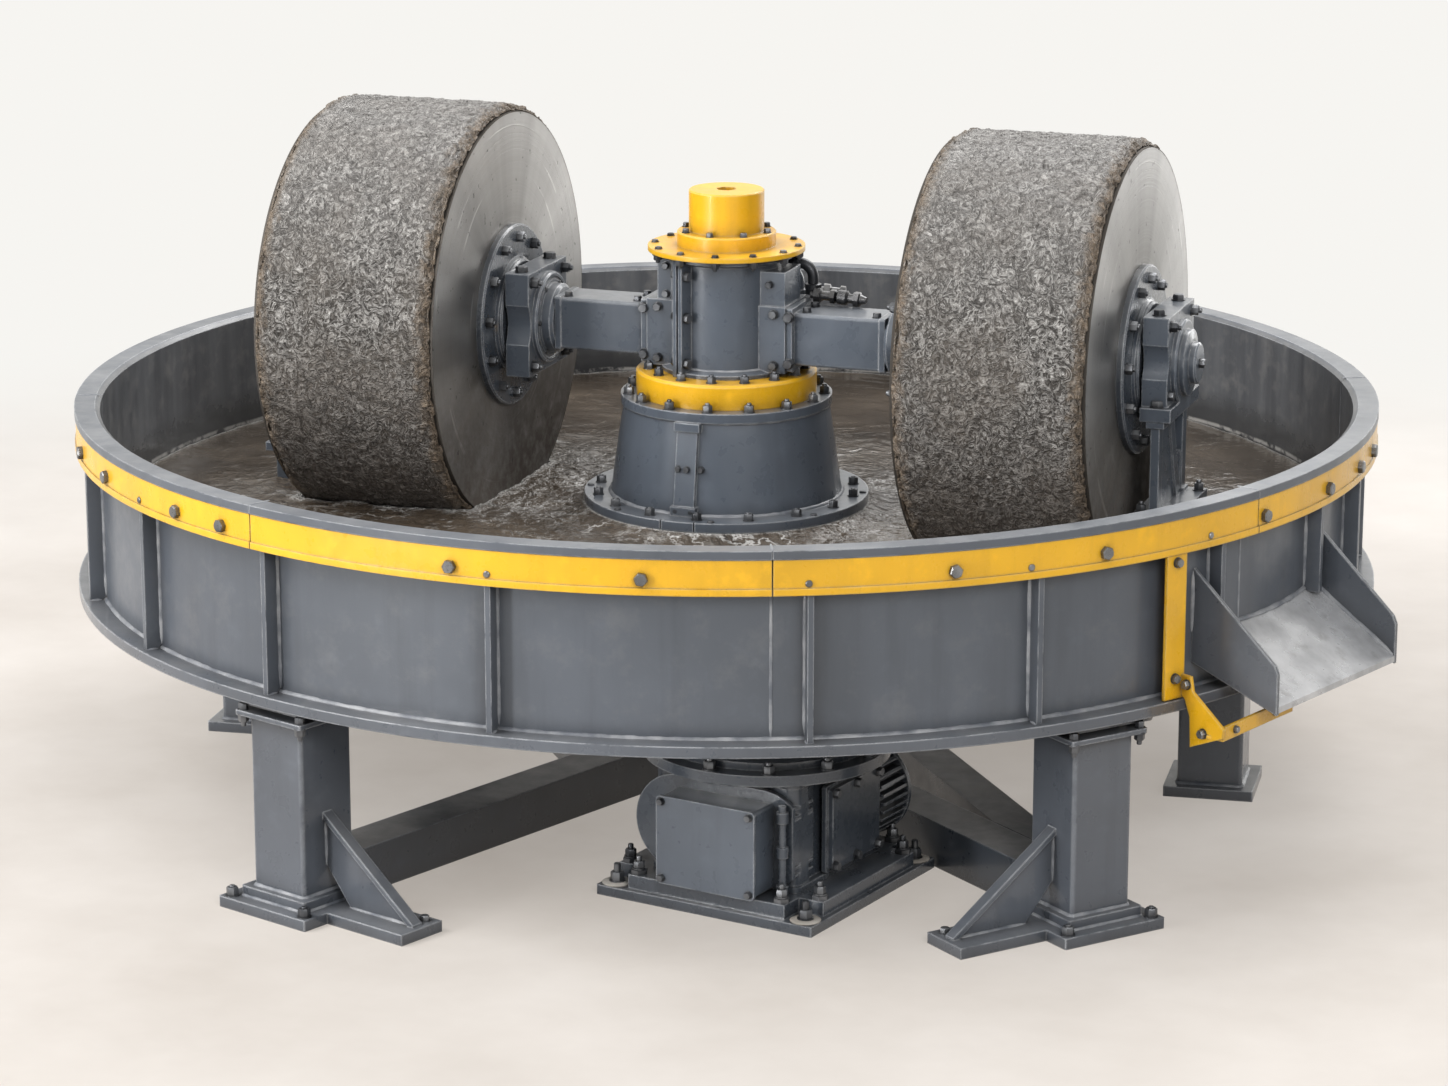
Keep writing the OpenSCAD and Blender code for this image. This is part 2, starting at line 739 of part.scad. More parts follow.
// tie beam from the front right leg's foot to the long diagonal beam
module tie_beam() {
    tie_w = 105;
    tie_x = 366;
    tie_az = 37.3;
    inner = 610;
    leg_side = leg_az + leg_spread / 2;
    far_side = leg_az - leg_spread / 2 + 180;
    difference() {
        at(tie_az) translate([tie_x, (inner - leg_r + 210) / 2, 0]) block3(tie_w, inner + leg_r - 210, 0, beam_h);
        at(far_side) translate([-beam_w / 2 - beam_gap, -leg_r, -1])
            cube([beam_w + 700, leg_r + 900, beam_h + 2]);
        at(leg_side) translate([-pad / 2 - beam_gap, -leg_r - 200, -1])
            cube([pad + 2 * beam_gap, pad / 2 + 200 + beam_gap, beam_h + 2]);
        beam(leg_side, 0, leg_r, beam_gap);
    }
}

module floor_beams() {
    far = leg_r - pad / 2;
    a = leg_az - leg_spread / 2;
    b = leg_az + leg_spread / 2;
    color("slategray") {
        beam(a, -far, far, 0);
        for (turn = [0, 180]) {
            rotate([0, 0, turn]) tie_beam();
            difference() {
                beam(b + turn, 0, far, 0);
                beam(a, -far, far, beam_gap);
            }
        }
    }
}

// ---- drive unit ----

module drive_place() { translate([drive_x, drive_y, 0]) rotate([0, 0, drive_turn]) children(); }

// thick plate with a raised frame whose corners are notched round the anchor bolts
module drive_base_plate() {
    hole = drive_base / 2 - 35;
    hole_r = 13;
    frame_out = drive_base - 28;
    frame_in = frame_out - 128;
    color("slategray") drive_place() difference() {
        union() {
            round_bar(drive_base, drive_base, 0, base_t, 3);
            block3(frame_out, frame_in, base_t, frame_h);
            block3(frame_in, frame_out, base_t, frame_h);
        }
        for (x = [-1, 1]) for (y = [-1, 1]) {
            translate([x * hole, y * hole, -1]) cylinder(r = hole_r, h = drive_foot + 2);
        }
    }
}

// a lying oval, two round ends joined by straight sides
module oval(w, h) {
    square([w - h, h], center = true);
    for (side = [-1, 1]) translate([side * (w - h) / 2, 0]) circle(d = h);
}

// section of the finned barrel: a core oval with fins along it
module fin_section(w, h) {
    fin_t = 7;
    count = floor((h / 2 - 10) / fin_pitch);
    oval(w - 2 * fin_out, h - 2 * fin_out);
    intersection() {
        oval(w, h);
        for (k = [-count : count]) translate([-w / 2, k * fin_pitch - fin_t / 2]) square([w, fin_t]);
    }
}

// gear case between four corner columns, with a finned barrel through it and a flat for the cover
module gear_case() {
    z0 = drive_foot;
    case_h = case_top - z0;
    half = drive_case / 2;
    barrel_w = drive_case + 2 * barrel_side;
    barrel_h = 226;
    barrel_z = z0 + 8 + barrel_h / 2;
    back = half + barrel_back;
    front = half + barrel_front;
    column = 76;
    bell = 12;
    core = drive_case - 24;
    color("slategray") drive_place() difference() {
        union() {
            block3(core, core, z0, case_h);
            for (x = [-1, 1]) for (y = [-1, 1]) {
                translate([x * (half - column / 2), y * (half - column / 2), 0])
                    round_bar(column, column, z0, case_h, 26);
            }
            round_bar(drive_case + 12, drive_case + 12, z0, 14, 20);
            round_bar(drive_case + 4, drive_case + 4, case_top - 16, 16, 28);
            translate([0, back, barrel_z]) rotate([90, 0, 0]) linear_extrude(back + front)
                fin_section(barrel_w, barrel_h);
            for (y = [back, -front + bell]) {
                translate([0, y, barrel_z]) rotate([90, 0, 0]) linear_extrude(bell) oval(barrel_w + 6, barrel_h + 6);
            }
        }
        translate([half, -front - 1, z0 + 14]) cube([barrel_side + 4, front + cover_y + cover_l / 2 + 3, case_h - 30]);
        translate([core / 2, column - half, z0 + 14]) cube([half, cover_y + cover_l / 2 - column + half, case_h - 30]);
    }
}

// bolted flanges between the gear case and the pan floor
module drive_flange() {
    big = 285;
    color("slategray") translate([drive_x, drive_y, 0]) rotate_extrude() polygon([[0, case_top], [big, case_top],
        [big, case_top + 26], [big - 40, case_top + 26], [big - 40, case_top + 44], [big - 86, case_top + 44],
        [big - 92, clear_h - 50], [big - 22, clear_h - 50], [big - 22, clear_h - 26], [big - 52, clear_h - 26],
        [big - 52, clear_h], [0, clear_h]]);
}

// cable box with a lid, on the front of the gear case
module terminal_box() {
    lid_t = 8;
    back = drive_case / 2 + barrel_front;
    mid_z = drive_foot + 4 + box_h / 2;
    color("slategray") drive_place() translate([box_x, 0, mid_z]) rotate([90, 0, 0]) union() {
        translate([0, 0, back]) linear_extrude(box_d - lid_t) round_rect(box_w - 8, box_h - 8, 8);
        translate([0, 0, back + box_d - lid_t]) linear_extrude(lid_t) round_rect(box_w, box_h, 12);
    }
}

// upright cable pipe with unions and a branch into the gear case, beside the terminal box
module conduit() {
    pipe_r = 9;
    union_r = 14;
    union_h = 26;
    pipe_h = 214;
    branch_z = 105;
    off = union_r + 1;
    color("slategray") drive_place()
        translate([box_x + box_w / 2 + union_r + 14, -drive_case / 2 - barrel_front - off, drive_foot]) union() {
            cylinder(r = pipe_r, h = pipe_h);
            for (z = [0, branch_z - union_h / 2, pipe_h - 40]) translate([0, 0, z]) cylinder(r = union_r, h = union_h);
            translate([0, 0, branch_z]) rotate([-90, 0, 0]) cylinder(r = pipe_r, h = off);
        }
}

// bolted cover over the gears, on the right-hand side of the gear case
module inspection_cover() {
    cover_h = 208;
    frame_t = 12;
    plate_t = 14;
    mid_z = drive_foot + 16 + cover_h / 2;
    color("slategray") drive_place() translate([drive_case / 2, cover_y, mid_z]) rotate([90, 0, 90]) union() {
        linear_extrude(frame_t) round_rect(cover_l, cover_h, 6);
        translate([0, 0, frame_t]) linear_extrude(plate_t) round_rect(cover_l - 14, cover_h - 14, 10);
    }
}

pan_floor();
floor_liner();
wall_segment(0);  // wall_front
wall_segment(1);  // wall_front_right
wall_segment(2);  // wall_right
wall_segment(3);  // wall_back_right
wall_segment(4);  // wall_back
wall_segment(5);  // wall_back_left
wall_segment(6);  // wall_left
wall_segment(7);  // wall_front_left
guard_band();
column_cone();
bearing_ring();
column_housing();
column_head();
grease_pipe();
left_side() arm_right();  // left_arm
arm_right();  // right_arm
left_side() inner_bearing_right();  // left_inner_bearing
inner_bearing_right();  // right_inner_bearing
left_side() outer_bearing_right();  // left_outer_bearing
outer_bearing_right();  // right_outer_bearing
left_side() pedestal_right();  // left_pedestal
pedestal_right();  // right_pedestal
left_side() tread_right();  // left_tread
left_side() disc(roller_in);  // left_inner_disc
left_side() disc(roller_out - disc_t);  // left_outer_disc
left_side() axle_right();  // left_axle
tread_right();  // right_tread
disc(roller_in);  // right_inner_disc
disc(roller_out - disc_t);  // right_outer_disc
axle_right();  // right_axle
chute_floor();
cheek(-1);  // chute_left_cheek
cheek(1);  // chute_right_cheek
chute_brace();
corner_leg(leg_az - leg_spread / 2, 1);  // leg_front_left
corner_leg(leg_az + leg_spread / 2, -1);  // leg_front_right
corner_leg(leg_az - leg_spread / 2 + 180, 1);  // leg_back_right
corner_leg(leg_az + leg_spread / 2 + 180, -1);  // leg_back_left
side_legs();
floor_beams();
drive_base_plate();
gear_case();
drive_flange();
terminal_box();
conduit();
inspection_cover();
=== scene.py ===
# %% [markdown]
# # A wet pan mill
# Two stone-tyred rollers run in a round steel pan that holds ore and water. The steelwork comes from
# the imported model: this script gives every part its finish and adds what a fabricator and years of
# work add to it, which is bolts, weld beads, chipped tyres and the slurry. Everything is in metres,
# +Z up, the pan's axis at x = y = 0. An azimuth is in degrees from -Y, the front, towards +X.

import bpy
import numpy as np
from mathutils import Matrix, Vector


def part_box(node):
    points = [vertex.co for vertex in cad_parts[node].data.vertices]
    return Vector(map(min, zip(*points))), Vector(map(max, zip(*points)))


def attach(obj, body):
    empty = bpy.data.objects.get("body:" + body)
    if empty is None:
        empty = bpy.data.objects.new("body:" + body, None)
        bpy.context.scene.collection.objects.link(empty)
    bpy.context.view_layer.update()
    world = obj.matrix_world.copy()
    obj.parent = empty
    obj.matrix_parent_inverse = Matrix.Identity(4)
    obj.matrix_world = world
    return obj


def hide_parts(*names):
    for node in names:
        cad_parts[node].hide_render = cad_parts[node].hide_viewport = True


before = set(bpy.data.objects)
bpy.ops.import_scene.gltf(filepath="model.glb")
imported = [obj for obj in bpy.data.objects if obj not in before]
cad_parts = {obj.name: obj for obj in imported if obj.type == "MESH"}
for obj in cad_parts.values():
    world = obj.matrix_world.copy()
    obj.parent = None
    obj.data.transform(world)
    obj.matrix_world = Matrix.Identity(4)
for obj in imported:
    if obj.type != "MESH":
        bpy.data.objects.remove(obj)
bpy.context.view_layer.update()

# %% [markdown]
# ## Sizes read from the model
# Each place below comes from a node's lowest and highest corner, so that a bolt still sits on its
# flange after a size is changed in the model. Typing the numbers again would be shorter, but they
# would go stale with the next change.

# %% Read the main sizes
def low(node, axis):
    """A node's lowest coordinate along an axis."""
    return float(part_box(node)[0][axis])


def high(node, axis):
    """A node's highest coordinate along an axis."""
    return float(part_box(node)[1][axis])


X, Y, Z = 0, 1, 2
floor_flange, wall_plate, band_plate = 0.054, 0.012, 0.003
floor_top = high("pan_floor", Z)
wall_r = high("pan_floor", X) - floor_flange
wall_in = wall_r - wall_plate
rim_z = high("wall_front", Z)
band_face = high("guard_band", X) - band_plate
band_low = low("guard_band", Z)
liner_top = high("floor_liner", Z)
tyre_in, tyre_out = low("right_tread", X), high("right_tread", X)
tyre_r = high("right_tread", Y)
disc_edge = high("right_inner_disc", Y)
axle_z = (low("right_tread", Z) + high("right_tread", Z)) / 2
foot_top = floor_top + 0.174
cone_top = high("column_cone", Z)
drum_z = high("bearing_ring", Z)
head_z = low("column_head", Z)
slurry_z = liner_top + 0.092
leg_azimuths = (-21.0, 51.0, 159.0, 231.0)
chute_az = 71.3
leg_r = wall_r - 0.052
print(f"pan radius {wall_r:.3f}, rim {rim_z:.3f}, axle {axle_z:.3f}, slurry {slurry_z:.3f}")

# %% [markdown]
# ## Surfaces from number grids
# Every new piece is an array of points with faces worked out from the grid they stand on. A modelling
# tool could draw one bolt; an array formula draws three hundred at once and can be read as a formula.
# `Shape` is just three arrays: points, four-sided faces and three-sided faces.

# %% Grid faces and joined shapes
def grid_faces(nu, nv, wrap_u=False, wrap_v=False):
    """Quads of an nu by nv grid: (i, j), (i+1, j), (i+1, j+1), (i, j+1), going round where it wraps."""
    rows, columns = np.arange(nu if wrap_u else nu - 1), np.arange(nv if wrap_v else nv - 1)
    i, j = np.meshgrid(rows, columns, indexing="ij")
    k, m = (i + 1) % nu, (j + 1) % nv
    return np.stack([i * nv + j, k * nv + j, k * nv + m, i * nv + m], -1).reshape(-1, 4)


def join(shapes):
    """Shapes side by side in one: each shape's face numbers are shifted by the points before it."""
    points, quads, tris, start = [], [], [], 0
    for p, q, t in shapes:
        points.append(p)
        quads.append(q + start)
        tris.append(t + start)
        start += len(p)
    return np.concatenate(points), np.concatenate(quads), np.concatenate(tris)


def end_fans(rings, sides):
    """Triangles to the two points after all the rings: one closes the first ring, one the last."""
    k = np.arange(sides)
    after, total, last = (k + 1) % sides, rings * sides, (rings - 1) * sides
    return np.concatenate([np.stack([k * 0 + total, after, k], -1),
                           np.stack([k * 0 + total + 1, k + last, after + last], -1)])


def mirrored(shape):
    """The shape's mirror image in x, its faces turned over so that they still look outwards."""
    points, quads, tris = shape
    return points * [-1, 1, 1], quads[:, ::-1], tris[:, ::-1]


NO_TRIS = np.zeros((0, 3), int)
print("faces of a 4 by 3 grid:", len(grid_faces(4, 3)), "and wrapped:", len(grid_faces(4, 3, True, True)))


# %% The mesh object itself
def put(name, data):
    """An object that holds the data, linked to the scene."""
    made = bpy.data.objects.new(name, data)
    bpy.context.scene.collection.objects.link(made)
    return made


def make_piece(name, shape, finish, body="frame", sharp=35, values=None):
    """A mesh object from a shape, smooth but for edges sharper than an angle in degrees."""
    points, quads, tris = shape
    mesh = bpy.data.meshes.new(name)
    mesh.vertices.add(len(points))
    mesh.vertices.foreach_set("co", points.astype(np.float32).ravel())
    corners = np.concatenate([quads.ravel(), tris.ravel()]).astype(np.int32)
    sides = np.concatenate([np.full(len(quads), 4), np.full(len(tris), 3)])
    mesh.loops.add(len(corners))
    mesh.loops.foreach_set("vertex_index", corners)
    mesh.polygons.add(len(sides))
    mesh.polygons.foreach_set("loop_start", (np.cumsum(sides) - sides).astype(np.int32))
    mesh.update(calc_edges=True)
    mesh.validate()
    mesh.shade_smooth()
    mesh.set_sharp_from_angle(angle=np.radians(sharp))
    for key, data in (values or {}).items():
        layer = mesh.attributes.new(key, "FLOAT", "POINT")
        layer.data.foreach_set("value", data.astype(np.float32))
    piece = put(name, mesh)
    mesh.materials.append(finish)
    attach(piece, body)
    print(f"{name}: {2 * len(quads) + len(tris)} triangles")
    return piece


# %% Places round the pan
UP = np.array([0.0, 0.0, 1.0])


def round_angles(count):
    """Angles in radians evenly round a full circle."""
    return np.arange(count) * 2 * np.pi / count


def facing(azimuth):
    """Unit vectors at azimuths a: outwards (sin a, -cos a, 0) and along the ring (cos a, sin a, 0)."""
    a = np.radians(np.asarray(azimuth, float))
    flat = np.zeros_like(a)
    return np.stack([np.sin(a), -np.cos(a), flat], -1), np.stack([np.cos(a), np.sin(a), flat], -1)


def ring_points(azimuth, radius, height):
    """Points at azimuths on a circle: radius times the outward vector, lifted to a height."""
    return facing(azimuth)[0] * np.reshape(radius, (-1, 1)) + UP * np.reshape(height, (-1, 1))


print("outwards at azimuth 90:", facing(90.0)[0].round(3))

# %% [markdown]
# ## Repeatable roughness
# Chipped stone, uneven weld beads and ripples need random-looking numbers that come out the same at
# every run. Both functions below turn a place in space into a number with a sine whose digits are
# cut off, so there is no seed to lose and the pattern has no seam round a ring.

# %% Noise and stone facets as formulas
def scatter(cell, key):
    """A number from 0 to 1 for each whole-numbered cell: the fraction of a large sine."""
    v = np.sin(cell @ np.array([127.1, 311.7, 74.7]) + key * 53.3) * 43758.5453
    return v - np.floor(v)


def smooth_noise(p, size, key=0):
    """Values from -1 to 1 that change smoothly over `size`: eight cell corners blended by 3f^2 - 2f^3."""
    q = p / size
    base = np.floor(q)
    f = q - base
    f = f * f * (3 - 2 * f)
    total = 0
    for corner in np.ndindex(2, 2, 2):
        step = np.array(corner)
        weight = np.prod(np.where(step, f, 1 - f), axis=-1)
        total = total + weight * scatter(base + step, key)
    return 2 * total - 1


def stone_facets(p, size, key=0):
    """Chipped facets: each point takes the nearest scattered centre's own height and tilt.

    Returns the facet height (-1 to 1), a tone from 0 to 1 for each facet, and the distance to the
    facet's edge as the second nearest distance less the nearest, over the cell size."""
    q = p / size
    base = np.floor(q)
    near = np.full(len(p), 9.0)
    second = near.copy()
    height, tone = np.zeros(len(p)), np.zeros(len(p))
    for offset in np.ndindex(3, 3, 3):
        cell = base + np.array(offset) - 1
        centre = cell + np.stack([scatter(cell, key + k) for k in (1, 2, 3)], -1)
        gap = q - centre
        d = np.sqrt((gap * gap).sum(-1))
        tilt = np.stack([scatter(cell, key + k) for k in (4, 5, 6)], -1) * 2 - 1
        this = 0.7 * (scatter(cell, key + 7) * 2 - 1) + 1.1 * (gap * tilt).sum(-1)
        closer = d < near
        second = np.where(closer, near, np.minimum(second, d))
        height = np.where(closer, this, height)
        tone = np.where(closer, scatter(cell, key + 8), tone)
        near = np.where(closer, d, near)
    return height, tone, second - near


print("noise at the origin", float(smooth_noise(np.zeros((1, 3)), 1.0)[0]))

# %% [markdown]
# ## Fasteners
# A hex head is a round profile whose radius is stretched to a hexagon: at angle a the radius is the
# half width across flats divided by cos(a mod 60 - 30). Rows of (radius, height, hexagon share) give
# washer, nut, chamfer and stud end in one closed surface of a few dozen faces.

# %% Bolts, nuts and screws
def turned(rows, sides=12):
    """Rows spun about +Z, closed by a point at each end; share 1 gives a hexagon, share 0 a circle."""
    radius, height, share = np.array(rows, float).T[:, :, None]
    a = round_angles(sides)
    stretch = 1 / np.cos(a % (np.pi / 3) - np.pi / 6)
    r = radius * (1 + share * (stretch - 1))
    ring = np.stack([r * np.cos(a), r * np.sin(a), height + 0 * r], -1).reshape(-1, 3)
    ends = np.array([[0, 0, rows[0][1]], [0, 0, rows[-1][1]]])
    quads = grid_faces(len(rows), sides, wrap_v=True)[:, ::-1]
    return np.concatenate([ring, ends]), quads, end_fans(len(rows), sides)


def bolt(across, head=None, washer=True):
    """Hex head on a washer, sized from its width across flats."""
    head = head or across * 0.55
    r, w = across / 2, across * 0.09 if washer else 0
    rows = [(r * 1.32, -0.002, 0), (r * 1.32, w, 0)] if washer else [(r, -0.002, 1)]
    return turned(rows + [(r, w, 1), (r, w + head * 0.8, 1), (r * 0.93, w + head, 0)])


def nut(across, stud=0.35):
    """Nut on a washer with the stud's end standing out of it."""
    r, w, h = across / 2, across * 0.1, across * 0.72
    top = w + h + across * stud
    return turned([(r * 1.36, -0.002, 0), (r * 1.36, w, 0), (r, w, 1), (r, w + h * 0.85, 1),
                   (r * 0.92, w + h, 0), (r * 0.58, w + h, 0), (r * 0.58, top - 0.002, 0),
                   (r * 0.46, top, 0)])


def screw(across):
    """Low round head with a domed top."""
    r = across / 2
    return turned([(r, -0.001, 0), (r, r * 0.25, 0), (r * 0.72, r * 0.5, 0)], sides=10)


print("faces in one nut:", sum(map(len, nut(0.03)[1:])))


# %% Copies of a fastener
def copies(shape, places, axes, turns=0.0):
    """The shape at each place with its +Z along each axis, turned about it by an angle in degrees."""
    points, quads, tris = shape
    places = np.atleast_2d(np.asarray(places, float))
    n = len(places)
    axes = np.broadcast_to(np.asarray(axes, float), (n, 3))
    axes = axes / np.linalg.norm(axes, axis=-1, keepdims=True)
    aid = np.where(np.abs(axes[:, 2:]) > 0.9, [[1.0, 0, 0]], [[0, 0, 1.0]])
    side = np.cross(aid, axes)
    side = side / np.linalg.norm(side, axis=-1, keepdims=True)
    other = np.cross(axes, side)
    t = np.radians(np.broadcast_to(turns, n))[:, None]
    side, other = side * np.cos(t) + other * np.sin(t), other * np.cos(t) - side * np.sin(t)
    basis = np.stack([side, other, axes], 1)
    all_points = (points @ basis + places[:, None]).reshape(-1, 3)
    shift = (np.arange(n) * len(points))[:, None, None]
    return all_points, (quads + shift).reshape(-1, 4), (tris + shift).reshape(-1, 3)


def mixed_turns(count, key):
    """Spanner angles: a scattered angle for each of a row of fasteners."""
    return scatter(np.stack([np.arange(count)] * 3, -1) * 1.0, key) * 60


def bolt_ring(shape, azimuths, radius, height, axis=UP):
    """A shape repeated on a level circle about the pan's axis."""
    return copies(shape, ring_points(azimuths, radius, height), axis, mixed_turns(len(azimuths), 1))


def every(pitch, start=0.0):
    """Azimuths all round the circle at an even pitch."""
    return start + np.arange(0, 360, pitch)


def both_sides(shape):
    """The shape and its mirror image, one for each roller."""
    return join([shape, mirrored(shape)])


print("points in a ring of twelve nuts:", len(bolt_ring(nut(0.03), every(30), 1.0, 0.0)[0]))

# %% [markdown]
# ## Weld beads
# A fillet weld fills the corner between two plates with a rounded, slightly uneven bead. It is a small
# profile carried along a path: at each point, one vector lies along one plate and one along the
# other. Sweeping the profile in an array is lighter than a curve with a bevel and lets the bead's
# size wander as a hand weld does.

# %% The bead along a path
BEAD = np.array([(-0.3, -0.3), (1.0, -0.12), (0.8, 0.4), (0.4, 0.8), (-0.12, 1.0)])
SEAM = np.array([(-1.0, -0.3), (1.0, -0.3), (0.65, 0.22), (0.0, 0.36), (-0.65, 0.22)])
BEAD_STEP = 0.012


def bead(path, first, second, size, closed=False, key=0, profile=BEAD):
    """Profile points are path + size * (u * first + v * second), the size wandering by a quarter."""
    path = np.asarray(path, float)
    n = len(path)
    first, second = (np.broadcast_to(np.asarray(v, float), (n, 3)) for v in (first, second))
    grow = 1 + 0.22 * smooth_noise(path, 0.016, key) + 0.12 * smooth_noise(path, 0.07, key + 1)
    if not closed:
        grow = grow * np.minimum(1, 0.35 + np.minimum(np.arange(n), np.arange(n)[::-1]) * 0.4)
    u, v = profile.T[:, None, :, None]
    rings = path[:, None] + size * grow[:, None, None] * (u * first[:, None] + v * second[:, None])
    m = len(profile)
    quads = grid_faces(n, m, wrap_u=closed, wrap_v=True)[:, ::-1]
    tris = NO_TRIS
    if not closed:
        fan = np.array([(0, k, k + 1) for k in range(1, m - 1)])
        tris = np.concatenate([fan[:, ::-1], fan + (n - 1) * m])
    ahead = path[1] - path[0]
    if np.dot(np.cross(first[0], second[0]), ahead) < 0:
        quads, tris = quads[:, ::-1], tris[:, ::-1]
    return rings.reshape(-1, 3), quads, tris


def line(start, end):
    """Evenly spaced points from start to end."""
    start, end = np.asarray(start, float), np.asarray(end, float)
    n = max(4, int(np.linalg.norm(end - start) / BEAD_STEP) + 1)
    return start + (end - start) * np.linspace(0, 1, n)[:, None]


def ring_bead(radius, height, size, up=1, key=0):
    """A bead round a level circle, in the corner of an upright face and a level one."""
    azimuths = np.arange(0, 360, np.degrees(BEAD_STEP / radius))
    out = facing(azimuths)[0]
    return bead(ring_points(azimuths, radius, height), out, UP * up, size, True, key)


print("points in a metre of bead:", len(bead(line((0, 0, 0), (1, 0, 0)), (0, 1, 0), UP, 0.006)[0]))


# %% [markdown]
# ## Shader building blocks
# A material is a graph of nodes. `add` places one node and fills its sockets, `make_group` packs an
# effect that several finishes share, with named inputs and outputs, so that rust-brown dust or edge
# wear is made once and used with its own values in each paint.

# %% Node helpers
def fill(tree, inputs, values):
    """Each named input gets a link where its value is a socket, and a constant where it is not."""
    for key, value in values.items():
        if isinstance(value, bpy.types.NodeSocket):
            tree.links.new(value, inputs[key])
        else:
            inputs[key].default_value = value


def add(tree, kind, sockets=None, **settings):
    """A node of a kind, with its settings and its filled inputs."""
    node = tree.nodes.new("ShaderNode" + kind)
    for key, value in settings.items():
        setattr(node, key, value)
    fill(tree, node.inputs, sockets or {})
    return node


def math(tree, operation, a, b=0.0):
    """One sum on two values, each a socket or a number."""
    return add(tree, "Math", {0: a, 1: b}, operation=operation).outputs[0]


def plus(tree, a, b):
    return math(tree, "ADD", a, b)


def minus(tree, a, b):
    return math(tree, "SUBTRACT", a, b)


def times(tree, first, *others):
    """The product of two or more values, taken two at a time."""
    for other in others:
        first = math(tree, "MULTIPLY", first, other)
    return first


def remap(tree, value, start, end, to_start=0.0, to_end=1.0):
    """The range from start to end stretched to another range, and held at its ends."""
    sockets = {"Value": value, "From Min": start, "From Max": end, "To Min": to_start, "To Max": to_end}
    return add(tree, "MapRange", sockets, clamp=True).outputs[0]


def mix(tree, share, a, b):
    """Colour a turning into colour b as the share goes from 0 to 1."""
    return add(tree, "Mix", {0: share, 6: a, 7: b}, data_type="RGBA").outputs[2]


def shade(colour, factor=1.0):
    """A colour made darker or lighter, with the fourth number that sockets expect."""
    return (colour[0] * factor, colour[1] * factor, colour[2] * factor, 1.0)


def tint(tree, base, colour, pattern, start, end, share=1.0):
    """The base turning to a colour as a pattern goes from start to end, up to a share."""
    return mix(tree, remap(tree, pattern, start, end, 0.0, share), base, shade(colour))


def cover(tree, base, colour, mask, share):
    """The base under a colour where the mask is, at a share of the mask's strength."""
    return mix(tree, times(tree, mask, share), base, shade(colour))


print("a grey at half its brightness:", shade((0.2, 0.2, 0.2), 0.5))


# %% Patterns and places
def noise(tree, place, scale, detail=4.0, rough=0.55, twist=0.0):
    """A cloudy value near 0.5 that changes over about 1 / scale metres."""
    sockets = {"Vector": place, "Scale": scale, "Detail": detail, "Roughness": rough, "Distortion": twist}
    return add(tree, "TexNoise", sockets).outputs[0]


def runs(tree, place, scale):
    """Streaks that run down a face: noise squeezed far more along x and y than along z."""
    return noise(tree, add(tree, "Mapping", {"Vector": place, "Scale": scale}).outputs[0], 1.0, 5.0, 0.6)


def object_place(tree):
    return add(tree, "TexCoord").outputs["Object"]


def point_value(tree, name):
    """A number that the mesh carries on each point."""
    return add(tree, "Attribute", attribute_name=name).outputs["Fac"]


def vector(tree, x, y=0.0):
    return add(tree, "CombineXYZ", {0: x, 1: y}).outputs[0]


def length(tree, place):
    return add(tree, "VectorMath", {0: place}, operation="LENGTH").outputs["Value"]


def bump(tree, height, strength, distance, rounded=None):
    """A normal tilted by the slope of a height, whose full step is the distance in metres."""
    sockets = {"Height": height, "Strength": strength, "Distance": distance}
    if rounded is not None:
        sockets["Normal"] = rounded
    return add(tree, "Bump", sockets).outputs[0]


# %% Groups and finishes
def make_group(name, inputs, outputs, build):
    """A node group from input values and output kinds; build(tree, inputs) returns the output sockets."""
    tree = bpy.data.node_groups.new(name, "ShaderNodeTree")
    for label, default in inputs.items():
        socket = tree.interface.new_socket(label, in_out="INPUT", socket_type="NodeSocketFloat")
        socket.default_value = default
    for label, kind in outputs.items():
        tree.interface.new_socket(label, in_out="OUTPUT", socket_type="NodeSocket" + kind)
    start, end = tree.nodes.new("NodeGroupInput"), tree.nodes.new("NodeGroupOutput")
    for made, socket in zip(build(tree, start.outputs), end.inputs):
        tree.links.new(made, socket)
    print("group", name, "gives", list(outputs))
    return tree


def use(tree, group, sockets=None):
    """Place a node group and return its outputs."""
    return add(tree, "Group", sockets, node_tree=group).outputs


def new_finish(name):
    """An empty material with its surface shader; the shader's constants are set where it is used."""
    print("finish", name)
    material = bpy.data.materials.new(name)
    material.use_nodes = True
    tree = material.node_tree
    tree.nodes.clear()
    shader = add(tree, "BsdfPrincipled")
    add(tree, "OutputMaterial", {"Surface": shader.outputs[0]})
    return material, tree, shader


def connect(tree, shader, **sockets):
    """The shader's own sockets by name, an underscore standing for a space."""
    fill(tree, shader.inputs, {key.replace("_", " "): value for key, value in sockets.items()})


# %% [markdown]
# ## Effects that the finishes share
# Edge wear compares the true normal with one rounded over a few millimetres: they differ only near an
# edge, which is where boots, chains and shovels take the paint off. The pale colour put there is partly
# that wear and partly a painted highlight. The rounded normal also lets an edge catch the light as a
# real, slightly blunt one does. Settled dust lies on faces that look up, grime and painted shade gather
# where faces stand close together, and grain gives three sizes of unevenness.

# %% Edge wear and highlight, dust, grime and shade, and grain groups
def build_edge_wear_and_highlight(tree, given):
    """Mask = how far the rounded normal leans from the true one, broken up by noise."""
    rounded = add(tree, "Bevel", {"Radius": given["Width"]}, samples=3).outputs[0]
    true_normal = add(tree, "NewGeometry").outputs["Normal"]
    same = add(tree, "VectorMath", {0: rounded, 1: true_normal}, operation="DOT_PRODUCT").outputs["Value"]
    broken = remap(tree, noise(tree, object_place(tree), given["Breakup"], 5.0, 0.65), 0.34, 0.50)
    return [times(tree, remap(tree, same, 0.999, 0.94), broken), rounded]


